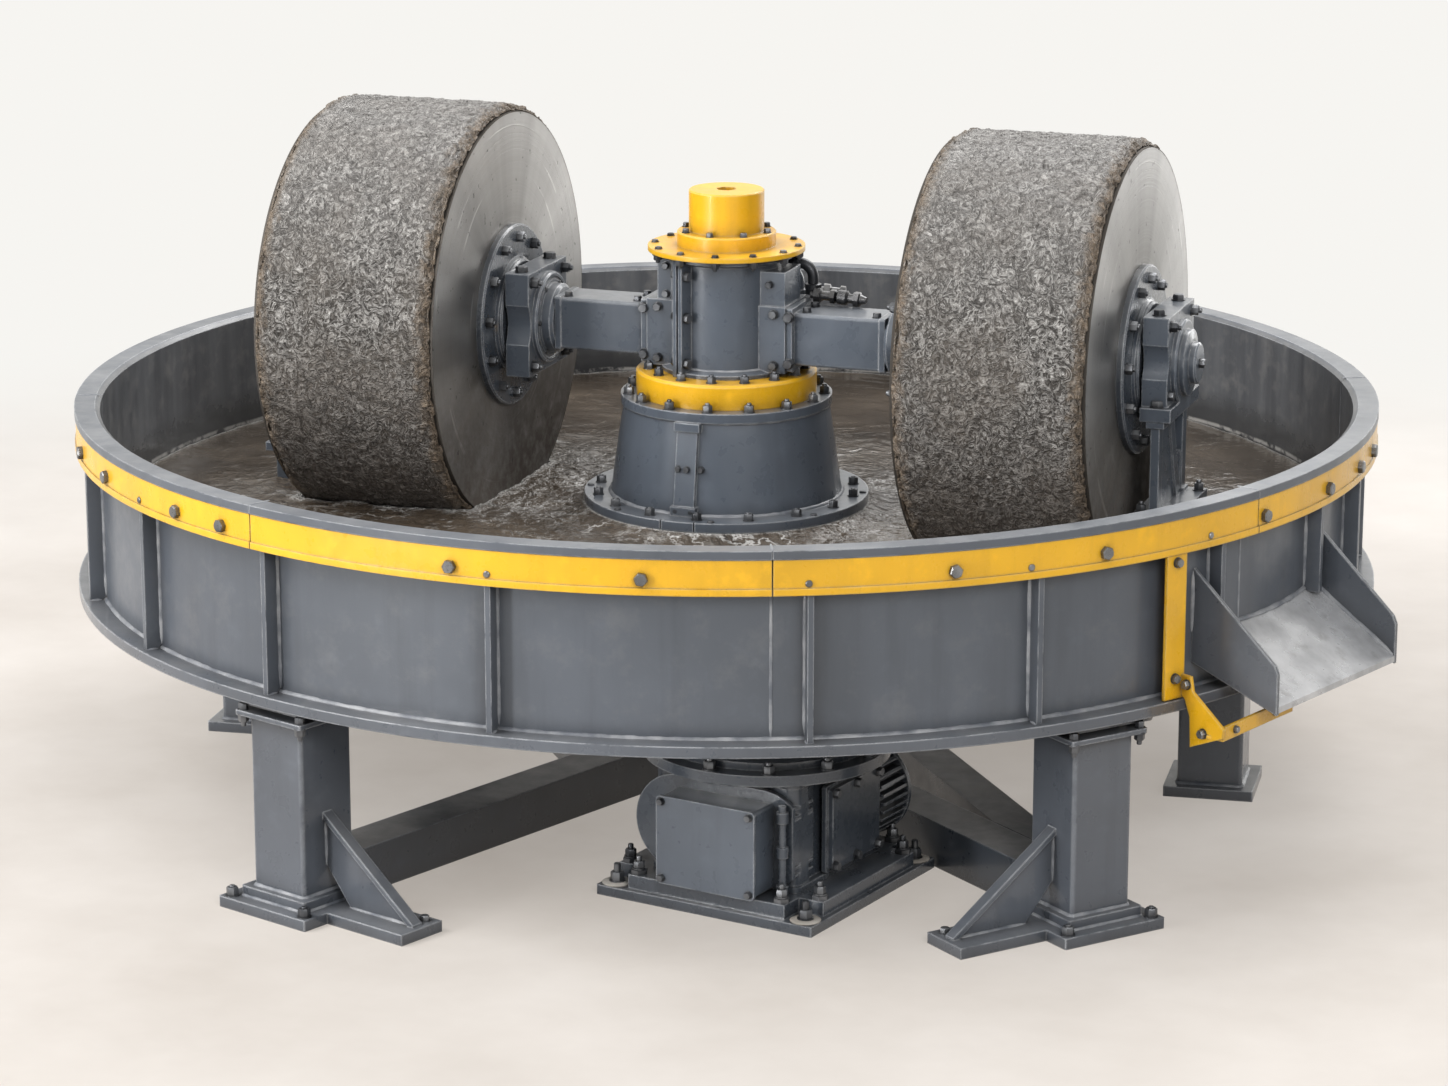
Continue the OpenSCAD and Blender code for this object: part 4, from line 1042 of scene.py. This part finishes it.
# %% Hub bolts, one piece on each roller
flange_proud, hub_circle = 0.018, 0.196
hub_bolts = join([round_axle(nut(0.023, 0.2), tyre_in - flange_proud, hub_circle, 12, -1, 5, 6),
                  round_axle(nut(0.023, 0.2), tyre_out + flange_proud, hub_circle, 12, 1, 5, 7)])
make_piece("right_hub_bolts", hub_bolts, bolt_steel, "right_roller")
make_piece("left_hub_bolts", mirrored(hub_bolts), bolt_steel, "left_roller")


# %% Leg bolts
pad_half, pad_top, leg_half, leg_top = 0.1375, 0.026, 0.080, low("pan_floor", Z) - 0.034
reach = 0.370
leg_sides = (1, -1, 1, -1)


def leg_frame(azimuth):
    """A leg's centre on the floor and its two level directions."""
    out, along = facing(azimuth)
    return out * leg_r, out, along


def leg_bolts(azimuth, side):
    """Anchor nuts in the base plate, one bolt in the toe and the bolts through the plates on top."""
    centre, out, along = leg_frame(azimuth)
    square = np.array([(-1, -1), (1, -1), (1, 1), (-1, 1)])

    def spots(half, height):
        return centre + (square[:, :1] * along + square[:, 1:] * out) * half + UP * height

    key = int(abs(azimuth))
    toe = centre + along * side * (reach - 0.030) - out * 0.040 + UP * pad_top
    return join([copies(nut(0.025, 0.15), spots(pad_half - 0.022, pad_top), UP, mixed_turns(4, key)),
                 copies(bolt(0.020), toe, UP, 11),
                 copies(nut(0.021, 0.5), spots(leg_half + 0.010, leg_top), -UP, 8),
                 copies(nut(0.019, 0.0), spots(leg_half + 0.010, leg_top + 0.012), UP, 3)])


make_piece("leg_bolts", join([leg_bolts(a, s) for a, s in zip(leg_azimuths, leg_sides)]), bolt_steel)

# %% Drive unit bolts
drive_turn, anchor_half = -12.5, 0.251
drive_front, drive_along = facing(drive_turn)
drive_centre = np.array([0.410, -0.903, 0.0])


def on_drive(x, y, z):
    """A place in the drive's own directions: x to its right, y to its back."""
    return drive_centre + drive_along * x - drive_front * y + UP * z


def drive_square(half_x, half_y, z):
    """The four corners of a level rectangle about the drive's centre."""
    return np.stack([on_drive(i * half_x, j * half_y, z) for i in (-1, 1) for j in (-1, 1)])


frame_top = high("drive_base_plate", Z)
case_top, pan_under = low("drive_flange", Z), low("pan_floor", Z)
box_x, box_mid, box_face = 0.014, frame_top + 0.109, -0.298
cover_face, cover_y, cover_mid = 0.216, 0.038, frame_top + 0.120
stacks = np.concatenate([drive_square(0.253, 0.190, frame_top), drive_square(0.190, 0.253, frame_top)])
flange_out = facing(every(30, 19))[0]
lid_spots = [on_drive(box_x + i * 0.116, box_face, box_mid + j * 0.091) for i in (-1, 1) for j in (-1, 1)]
cover_spots = [on_drive(cover_face, cover_y + i * 0.098, cover_mid + j * 0.087)
               for i in (-1, 0, 1) for j in (-1, 1)]
drive_bolts = [
    copies(nut(0.028, 0.7), drive_square(anchor_half, anchor_half, 0.029), UP, mixed_turns(4, 9)),
    copies(turned([(0.0165, -0.002, 1), (0.0165, 0.010, 1), (0.015, 0.012, 0)]), stacks, UP, 10),
    copies(nut(0.023, 0.5), stacks + UP * 0.012, UP, mixed_turns(8, 4)),
    copies(nut(0.024), drive_centre + flange_out * 0.265 + UP * (case_top + 0.026), UP, mixed_turns(12, 2)),
    copies(nut(0.022), drive_centre + flange_out * 0.249 + UP * (pan_under - 0.050), -UP,
           mixed_turns(12, 8)),
    copies(bolt(0.015), lid_spots, drive_front, 15),
    copies(bolt(0.019), cover_spots, drive_along, mixed_turns(6, 1)),
]
make_piece("drive_bolts", join(drive_bolts), bolt_steel)
washer = turned([(0.034, -0.001, 0), (0.036, 0.0025, 0), (0.031, 0.005, 0)], sides=20)
make_piece("anchor_washers", copies(washer, drive_square(anchor_half, anchor_half, 0.024), UP), pale_washer)

# %% Chute brace bolts
chute_out, chute_along = facing(chute_az)
strap_out, strap_along = facing(chute_az - np.degrees(np.arcsin(0.367 / wall_r)))
strap_spots = [strap_out * 1.600 + UP * z for z in (band_low - 0.018, floor_top + 0.050)]
bracket_spots = [strap_out * r + strap_along * 0.022 + UP * z for r, z in ((1.618, 0.552), (1.672, 0.450))]
lip_spots = [chute_out * 1.687 - chute_along * t + UP * 0.461 for t in (0.33, 0.16)]
brace_bolts = join([copies(bolt(0.019), strap_spots, strap_out, 17),
                    copies(bolt(0.019), bracket_spots, -strap_along, 5),
                    copies(bolt(0.014), lip_spots, chute_out, 9)])
make_piece("brace_bolts", brace_bolts, bright_steel)

# %% [markdown]
# ## Weld beads
# Every plate joint that shows has its bead: round the wall's foot, up both sides of each rib, round the
# legs, along the gussets, in the chute and on the cone. Low butt seams cover the joints between the
# eight wall segments.

# %% Pan welds
front_ribs = np.array([-56, -39, -21.5, 0, 25.5, 44.5])
rib_azimuths = np.concatenate([front_ribs, 90 + np.arange(11) * (360 + front_ribs[0] - 90) / 11])
rib_out, rib_half, rim_bar = band_face - 0.008, 0.007, 0.050


def rib_welds(azimuth, foot):
    """Beads in both corners of a rib and the wall, and along its foot on the flange."""
    out, along = facing(azimuth)
    shapes = []
    for s in (-1, 1):
        corner = out * wall_r + along * s * rib_half
        upright = line(corner + UP * (foot + 0.012), corner + UP * band_low)
        shapes.append(bead(upright, out, along * s, 0.0055, key=3))
        if foot < floor_top + 0.01:
            level = line(corner + out * 0.012 + UP * foot, corner + out * (rib_out - wall_r) + UP * foot)
            shapes.append(bead(level, UP, along * s, 0.005))
    return join(shapes)


def seam(azimuth):
    """A low butt seam across the rim's top and down both faces of the wall."""
    out, along = facing(azimuth)
    runs_and_normals = [
        (line(out * wall_in + UP * rim_z, out * (wall_r + rim_bar) + UP * rim_z), UP),
        (line(out * wall_r + UP * floor_top, out * wall_r + UP * (rim_z - 0.020)), out),
        (line(out * wall_in + UP * slurry_z, out * wall_in + UP * (rim_z - 0.010)), -out)]
    return join([bead(run, along, normal, 0.0045, profile=SEAM) for run, normal in runs_and_normals])


chute_half = np.degrees(np.arcsin(0.212 / wall_r))
tray_back = floor_top + 0.121
pan_welds = [ring_bead(wall_r, floor_top, 0.0065, key=1)]
pan_welds += [rib_welds(a, floor_top) for a in rib_azimuths]
pan_welds += [rib_welds(chute_az + s * chute_half, tray_back + 0.003) for s in (-1, 1)]
pan_welds += [seam(22.5 + 45 * k) for k in range(8)]
make_piece("pan_welds", join(pan_welds), weld_grey)


# %% A loop round a square post
def square_loop(centre, out, along, half, corner, height, step=0.010):
    """Points and outward normals of a level square with round corners: four arcs and the sides between."""
    turn = np.radians(np.arange(0, 90, 15))
    angle = np.concatenate([turn + k * np.pi / 2 for k in range(4)])
    mid = np.repeat(np.array([(1, 1), (-1, 1), (-1, -1), (1, -1)]) * (half - corner), len(turn), axis=0)
    ring = mid + corner * np.stack([np.cos(angle), np.sin(angle)], -1)
    flat = along_path(np.concatenate([ring, ring[:1]]), step=step)
    ahead = np.roll(flat, -1, 0) - np.roll(flat, 1, 0)
    ahead /= np.linalg.norm(ahead, axis=1, keepdims=True)
    normal = ahead[:, 1:] * along - ahead[:, :1] * out
    return centre + flat[:, :1] * along + flat[:, 1:] * out + UP * height, normal


print("points round a leg's post:", len(square_loop(np.zeros(3), *facing(0.0), leg_half, 0.009, 0.0)[0]))


# %% Leg welds
def loop_bead(centre, out, along, half, corner, height, size, up=1):
    """A bead round a square post: the loop is the path, its normals lie along the plate."""
    path, normal = square_loop(centre, out, along, half, corner, height)
    return bead(path, normal, UP * up, size, True, key=5)


def gusset_welds(centre, out, along, side):
    """Beads along both faces of a gusset: up the post and along the base plate."""
    gusset_half, gusset_z, toe = 0.006, 0.240, reach - 0.026
    low_z, start = pad_top + 0.42 * (gusset_z - pad_top), leg_half + 0.28 * (toe - leg_half)
    toward = along * side
    shapes = []
    for s in (-1, 1):
        face = centre + toward * leg_half + out * s * gusset_half
        foot = centre + out * s * gusset_half + UP * pad_top
        upright = line(face + UP * low_z, face + UP * (gusset_z - 0.014))
        shapes.append(bead(upright, toward, out * s, 0.005))
        shapes.append(bead(line(foot + toward * start, foot + toward * toe), UP, out * s, 0.005))
    return join(shapes)


leg_welds = []
for azimuth, side in zip(leg_azimuths, leg_sides):
    centre, out, along = leg_frame(azimuth)
    leg_welds += [loop_bead(centre, out, along, leg_half + 0.021, 0.006, pad_top, 0.005),
                  loop_bead(centre, out, along, leg_half, 0.009, pad_top + 0.024, 0.006),
                  loop_bead(centre, out, along, leg_half, 0.009, leg_top, 0.005, -1),
                  gusset_welds(centre, out, along, side)]
for azimuth in (96.3, 276.3):
    out, along = facing(azimuth)
    leg_welds.append(loop_bead(out * (wall_r - 0.319), out, along, leg_half, 0.009, pad_top, 0.006))
make_piece("leg_welds", join(leg_welds), weld_grey)


# %% Chute and column welds
def chute_welds():
    """Beads where the tray meets the wall and the cheeks, and where the cheeks meet the wall."""
    drop, run, half, cheek_out = 0.130, 0.203, 0.259, 0.269
    fall = drop / run
    azimuths = chute_az + np.degrees(np.arcsin(np.arange(-half + 0.01, half - 0.005, 0.012) / wall_r))
    outs = facing(azimuths)[0]
    back = ring_points(azimuths, wall_r, tray_back)
    back[:, 2] -= fall * (outs @ chute_out * wall_r - wall_r)
    shapes = [bead(back, outs, UP, 0.007, key=2)]
    down = chute_out * run - UP * drop
    normal = np.cross(chute_along, down / np.linalg.norm(down))
    normal = normal * np.sign(normal[2])
    start_r, edge_r = np.sqrt(wall_r ** 2 - half ** 2), np.sqrt(wall_r ** 2 - cheek_out ** 2)
    for s in (-1, 1):
        side = chute_along * s
        inner, outer = chute_out * start_r + side * half, chute_out * edge_r + side * cheek_out
        start = inner + UP * (tray_back + fall * (wall_r - start_r))
        end = chute_out * (wall_r + run - 0.004) + side * half + UP * (tray_back - drop + fall * 0.004)
        wall_out = facing(chute_az + s * np.degrees(np.arcsin(cheek_out / wall_r)))[0]
        shapes.append(bead(line(start, end), -side, normal, 0.007, key=4))
        for foot, rise, turned_to in ((outer, 0.01, side), (inner, 0.02, -side)):
            upright = line(foot + UP * (tray_back + rise), foot + UP * (tray_back + 0.150))
            shapes.append(bead(upright, wall_out, turned_to, 0.006))
    return join(shapes)


make_piece("chute_welds", chute_welds(), weld_grey)
column_welds = [ring_bead(cone_foot_r, foot_top, 0.006, key=2),
                ring_bead(0.256, cone_top - 0.024, 0.005, up=-1, key=3),
                ring_bead(0.141, drum_z + 0.017, 0.004, key=4)]
make_piece("column_welds", join(column_welds), weld_grey)

# %% [markdown]
# ## Slurry
# Ground ore in water, the colour of wet clay, ripples away from the rollers. It is one sheet on a grid
# of radius by angle, with points inside each tyre's outline moved out to that outline, so that the
# water meets the stone cleanly and a roller can turn in it. Each point carries two values for the
# finish: froth, which gathers along the walls, the tyres and the column, and how stirred the water is.

# %% Distance to the tyres at the waterline
def tyre_gap(p):
    """Signed distance from points to the nearer tyre's outline at the waterline, below 0 inside it."""
    half_y = np.sqrt(tyre_r ** 2 - (axle_z - slurry_z) ** 2)
    mid_x, half_x = (tyre_in + tyre_out) / 2, (tyre_out - tyre_in) / 2
    dx, dy = np.abs(np.abs(p[:, 0]) - mid_x) - half_x - 0.003, np.abs(p[:, 1]) - half_y - 0.003
    outside = np.hypot(np.maximum(dx, 0), np.maximum(dy, 0))
    return outside + np.minimum(np.maximum(dx, dy), 0), dx, dy


def slurry_grid(rings, spokes):
    """Points on rings about the column, those inside a tyre moved to its nearer side or end."""
    r = slurry_in + (slurry_out - slurry_in) * np.linspace(0, 1, rings)
    a = round_angles(spokes)
    level = np.zeros((rings, spokes))
    p = np.stack([np.outer(r, np.sin(a)), -np.outer(r, np.cos(a)), level], -1).reshape(-1, 3)
    gap, dx, dy = tyre_gap(p)
    inside = gap < 0
    side_way = inside & (dx >= dy)
    to_middle = np.sign(np.abs(p[:, 0]) - (tyre_in + tyre_out) / 2) * np.sign(p[:, 0])
    p[:, 0] -= np.where(side_way, dx * to_middle, 0)
    p[:, 1] -= np.where(inside & ~side_way, dy * np.sign(p[:, 1]), 0)
    return p, np.maximum(gap, 0), inside


slurry_in, slurry_out, slurry_foot = 0.284, wall_in + 0.002, 0.352
print("gap to a tyre from the pan's axis:", tyre_gap(np.zeros((1, 3)))[0].round(3))


# %% Waves and froth
def slurry_height(p, warp, gap, radius):
    """Height = level + swell + ripples + chop, with a small climb at every edge it touches."""
    swell = 0.0045 * smooth_noise(p + warp, 0.20, 31)
    chop = (0.0040 * smooth_noise((p + warp) * [1, 1.9, 1], 0.050, 32)
            + 0.0022 * smooth_noise((p + warp * 2) * [1, 2.2, 1], 0.021, 33))
    wake = np.exp(-gap / 0.10) * 0.0030 * np.sin(gap / 0.0095 + 3 * smooth_noise(p, 0.08, 34))
    rough_water = 0.45 + 0.55 * np.clip(1.4 - gap / 0.30, 0, 1)
    edge = np.minimum(np.minimum(gap, slurry_out - radius), radius - slurry_in)
    bank = np.clip((0.42 - radius) / 0.07, 0, 1)
    climb = 0.004 * np.exp(-edge / 0.008) + (foot_top - 0.024 - slurry_z) * bank * bank * (3 - 2 * bank)
    return slurry_z + (swell + chop * rough_water + wake) * (1 - 0.8 * bank) + climb


def slurry_froth(p, warp, gap, radius):
    """Froth in a thin line along every edge, and in torn drifts near the tyres and the column."""
    torn = smooth_noise(p + warp, 0.028, 35) + 0.6 * smooth_noise(p, 0.011, 36)
    by_wall, by_foot = np.exp(-(slurry_out - radius) / 0.010), np.exp(-np.abs(radius - slurry_foot) / 0.010)
    near = np.maximum(np.exp(-gap / 0.016), np.maximum(by_wall, by_foot))
    around = np.maximum(np.exp(-gap / 0.26), np.exp(-(radius - 0.35) / 0.20))
    drift = around * smooth_noise((p + warp) * [1, 2.4, 1], 0.036, 37)
    lines = np.clip(near * 1.5 + 0.35 * torn - 0.55, 0, 1)
    return np.clip(lines + np.clip(drift * 1.3 + 0.4 * torn - 0.40, 0, 0.75), 0, 1)


# %% The slurry's sheet
def make_slurry(rings, spokes):
    """The grid without the faces that lie inside a tyre, given a thickness downwards."""
    p, gap, inside = slurry_grid(rings, spokes)
    radius = np.hypot(p[:, 0], p[:, 1])
    warp = 0.05 * np.stack([smooth_noise(p, 0.22, k) for k in (41, 42, 43)], -1)
    p[:, 2] = slurry_height(p, warp, gap, radius)
    near_edge = np.exp(-np.minimum(gap, np.maximum(radius - 0.35, 0)) / 0.22)
    stir = np.clip(0.18 + near_edge + 0.25 * smooth_noise(p + warp, 0.16, 38), 0.1, 1)
    stir *= np.clip(1.12 - 0.35 * np.maximum(radius - 0.55, 0) / 0.5, 0, 1)
    froth = slurry_froth(p, warp, gap, radius)
    quads = grid_faces(rings, spokes, wrap_v=True)
    quads = quads[~inside[quads].all(axis=1)]
    used = np.unique(quads)
    renumber = np.zeros(len(p), int)
    renumber[used] = np.arange(len(used))
    piece = make_piece("slurry", (p[used], renumber[quads], NO_TRIS), slurry_wet, sharp=180,
                       values={"froth": froth[used], "stir": stir[used]})
    thick = piece.modifiers.new("depth", "SOLIDIFY")
    thick.thickness, thick.offset = 0.02, -1


make_slurry(112, 430)

# %% [markdown]
# ## Small fittings
# Behind the right-hand arm a lubricating line leaves the drum through an elbow, two unions and a valve.
# Each straight part is a turned shape placed along the line, as it would be screwed together, and the
# elbow is a circle carried round a quarter turn. A lock pin stands by the front right leg.

# %% Fittings as turned shapes, and an elbow
pipe_union = turned([(0.010, -0.010, 0), (0.010, 0.0, 0), (0.017, 0.0, 1), (0.017, 0.016, 1),
                     (0.012, 0.019, 0), (0.012, 0.040, 0), (0.016, 0.042, 1), (0.016, 0.054, 1),
                     (0.008, 0.057, 0)])
valve_body = turned([(0.012, 0.0, 0), (0.019, 0.006, 0), (0.019, 0.026, 0), (0.012, 0.032, 0),
                     (0.012, 0.044, 0), (0.017, 0.046, 1), (0.017, 0.060, 1), (0.013, 0.062, 0),
                     (0.009, 0.075, 0), (0.007, 0.078, 0)])
collar = turned([(0.017, -0.006, 1), (0.017, 0.006, 1), (0.021, 0.007, 0), (0.021, 0.019, 0),
                 (0.017, 0.021, 0)])
pin = turned([(0.011, 0.0, 0), (0.013, 0.002, 0), (0.013, 0.058, 0), (0.010, 0.061, 0)], sides=18)


def elbow(start, run, bend, drop, radius, steps, sides):
    """A pipe along +X that turns down by a quarter circle; its rings are circles square to its axis."""
    turn = np.concatenate([[0.0], np.linspace(0, np.pi / 2, steps), [np.pi / 2]])
    along, down = run + bend * np.sin(turn), bend * (1 - np.cos(turn))
    along[0], down[-1] = 0.0, bend + drop
    centres = np.asarray(start) + np.outer(along, (1, 0, 0)) - np.outer(down, UP)
    across = np.stack([np.sin(turn), 0 * turn, np.cos(turn)], -1)
    a = round_angles(sides)
    spoke = np.outer(np.cos(a), (0, 1, 0)) + np.sin(a)[:, None] * across[:, None]
    rings = centres[:, None] + radius * spoke
    return (np.concatenate([rings.reshape(-1, 3), centres[[0, -1]]]),
            grid_faces(len(centres), sides, wrap_v=True)[:, ::-1], end_fans(len(centres), sides))


# %% Fittings in place
elbow_z, line_z, line_y = head_z - 0.0415, axle_z + 0.086, 0.092
make_piece("lube_elbow", join([
    elbow((0.100, line_y, elbow_z), 0.059, 0.036, 0.026, 0.0135, 10, 16),
    copies(collar, [(0.195, line_y, elbow_z - 0.070)], UP),
    copies(collar, [(0.140, line_y, elbow_z)], (1, 0, 0))]), black_steel)
make_piece("lube_valves", join([
    copies(pipe_union, [(0.205, 0.075, line_z)], (0.96, -0.02, -0.02)),
    copies(valve_body, [(0.262, 0.074, line_z - 0.001)], (0.98, -0.05, -0.05)),
    copies(pipe_union, [(0.215, 0.112, line_z + 0.004)], (0.9, 0.25, -0.1))]), bright_steel)
centre, out, along = leg_frame(leg_azimuths[1])
make_piece("lock_pin", copies(pin, centre + along * 0.085 + out * 0.055 + UP * 0.479, along), bright_steel)

# %% [markdown]
# ## Floor, light and camera
# The mill stands on a plain warm floor that fades to near white, under large soft lamps from the
# upper left and front. The fade is painted by distance from the mill and shown as plain colour only to
# rays from the camera and to reflections, so the paint mirrors the pale room but is not lit by it.

# %% Floor that fades to near white
BACKDROP = (0.925, 0.912, 0.88)


def seen_rays(tree):
    """1 for rays that show the backdrop: straight from the camera, off gloss and through glass."""
    path = add(tree, "LightPath")
    seen = math(tree, "MAXIMUM", path.outputs["Is Camera Ray"], path.outputs["Is Glossy Ray"])
    return math(tree, "MAXIMUM", seen, path.outputs["Is Transmission Ray"])


def paint_floor():
    """Warm paint that takes the shadow, turning into a plain glow further out for the seen rays; near the
    mill the seen rays get half glow as painted light on the shadow, and other rays a darker copy.
    """
    material, tree, shader = new_finish("floor_paint")
    surface = shader.outputs[0].links[0].to_socket  # the blend below takes over this link
    place = object_place(tree)
    seen = seen_rays(tree)
    cloudy = remap(tree, noise(tree, place, 1.1, 5.0, 0.6), 0.3, 0.7)
    colour = mix(tree, cloudy, shade((0.62, 0.57, 0.52)), shade((0.74, 0.69, 0.64)))
    # Rays that are not seen get a darker copy of the floor colour, so less light bounces up under the mill:
    # painted shade by a shaded copy of the floor.
    colour = mix(tree, seen, shade((0.30, 0.28, 0.255)), colour)
    connect(tree, shader, Base_Color=colour, Roughness=0.75, Specular_IOR_Level=0.25)
    reach = {"Value": length(tree, place), "From Min": 1.8, "From Max": 5.4}
    fade = add(tree, "MapRange", reach, interpolation_type="SMOOTHSTEP").outputs[0]
    haze = mix(tree, cloudy, shade((0.66, 0.60, 0.54)), shade((0.80, 0.745, 0.69)))
    glow = add(tree, "Emission", {"Color": mix(tree, fade, haze, shade(BACKDROP)), "Strength": 1.0})
    # Near the mill half of what the seen rays show is glow, which lightens the mill's shadow on the floor:
    # painted light.
    share = times(tree, math(tree, "MAXIMUM", fade, 0.5), seen)
    blend = add(tree, "MixShader", {0: share, 1: shader.outputs[0], 2: glow.outputs[0]})
    tree.links.new(blend.outputs[0], surface)
    return material


# %% Floor disc
def make_floor(rings, sides):
    """A disc as rings of points: radius grows with the square of the ring number."""
    r = 40.0 * (np.arange(1, rings + 1) / rings) ** 2
    a = round_angles(sides)
    points = np.stack([np.outer(r, np.cos(a)), np.outer(r, np.sin(a)), np.zeros((rings, sides))], -1)
    points = np.concatenate([points.reshape(-1, 3), [[0, 0, 0]]])
    k = np.arange(sides)
    tris = np.stack([k * 0 + rings * sides, k, (k + 1) % sides], -1)
    mesh = bpy.data.meshes.new("floor")
    mesh.from_pydata(points.tolist(), [], grid_faces(rings, sides, wrap_v=True).tolist() + tris.tolist())
    mesh.materials.append(paint_floor())
    put("floor", mesh)
    print("floor:", len(mesh.polygons), "faces")


make_floor(24, 96)


# %% Soft lamps
def aim(looker, place, target):
    """Stand a lamp or camera at a place, its -Z axis towards the target and its +Y axis up."""
    looker.location = place
    looker.rotation_euler = (Vector(target) - Vector(place)).to_track_quat("-Z", "Y").to_euler()
    print(looker.name, "at", [round(float(v), 2) for v in place])


def soft_lamp(name, place, target, size, power, tall=None):
    """A round lamp, or an upright strip when a height is given, turned to its target."""
    lamp = bpy.data.lights.new(name, "AREA")
    lamp.shape, lamp.size, lamp.energy = "ELLIPSE", size, power
    lamp.size_y = tall or size
    aim(put(name, lamp), place, target)


soft_lamp("key_lamp", (-5.2, -3.9, 6.3), (0, 0, 0.7), 5.0, 460)
soft_lamp("strip_lamp", (-3.9, -6.2, 1.5), (0, 0, 0.8), 0.8, 195, 2.8)
soft_lamp("fill_lamp", (4.2, -5.8, 4.2), (0, 0, 0.8), 3.0, 195)
soft_lamp("disc_lamp", (2.8, 6.4, 1.5), (0, 0, 1.0), 2.4, 50, 2.6)
soft_lamp("top_lamp", (0.8, 5.0, 6.0), (0, 0, 0.8), 4.5, 330)

# %% World light and backdrop
world = bpy.data.worlds.new("studio")
bpy.context.scene.world = world
world.use_nodes = True
tree = world.node_tree
tree.nodes.clear()
toward = add(tree, "VectorMath", {0: add(tree, "TexCoord").outputs["Generated"], 1: (-0.55, -0.45, 0.70)},
             operation="DOT_PRODUCT").outputs["Value"]
strength = remap(tree, toward, -0.5, 0.8, 0.15, 1.0)
ambient = add(tree, "Background", {"Color": (0.95, 0.97, 1.0, 1), "Strength": strength})
backdrop = add(tree, "Background", {"Color": shade(BACKDROP), "Strength": 1.0})
shown = add(tree, "MixShader", {0: seen_rays(tree), 1: ambient.outputs[0], 2: backdrop.outputs[0]})
add(tree, "OutputWorld", {"Surface": shown.outputs[0]})
print("world nodes:", len(tree.nodes))

# %% Camera
azimuth, elevation, distance = 19.0, np.radians(14.745), 11.2
target = np.array([-0.0055, -0.0033, 0.550])
lens = bpy.data.cameras.new("camera")
lens.lens, lens.sensor_width = 111.3, 36.0
camera = put("camera", lens)
aim(camera, target + distance * (np.cos(elevation) * facing(azimuth)[0] + np.sin(elevation) * UP), target)
bpy.context.scene.camera = camera
bpy.context.scene.view_settings.view_transform = "Standard"
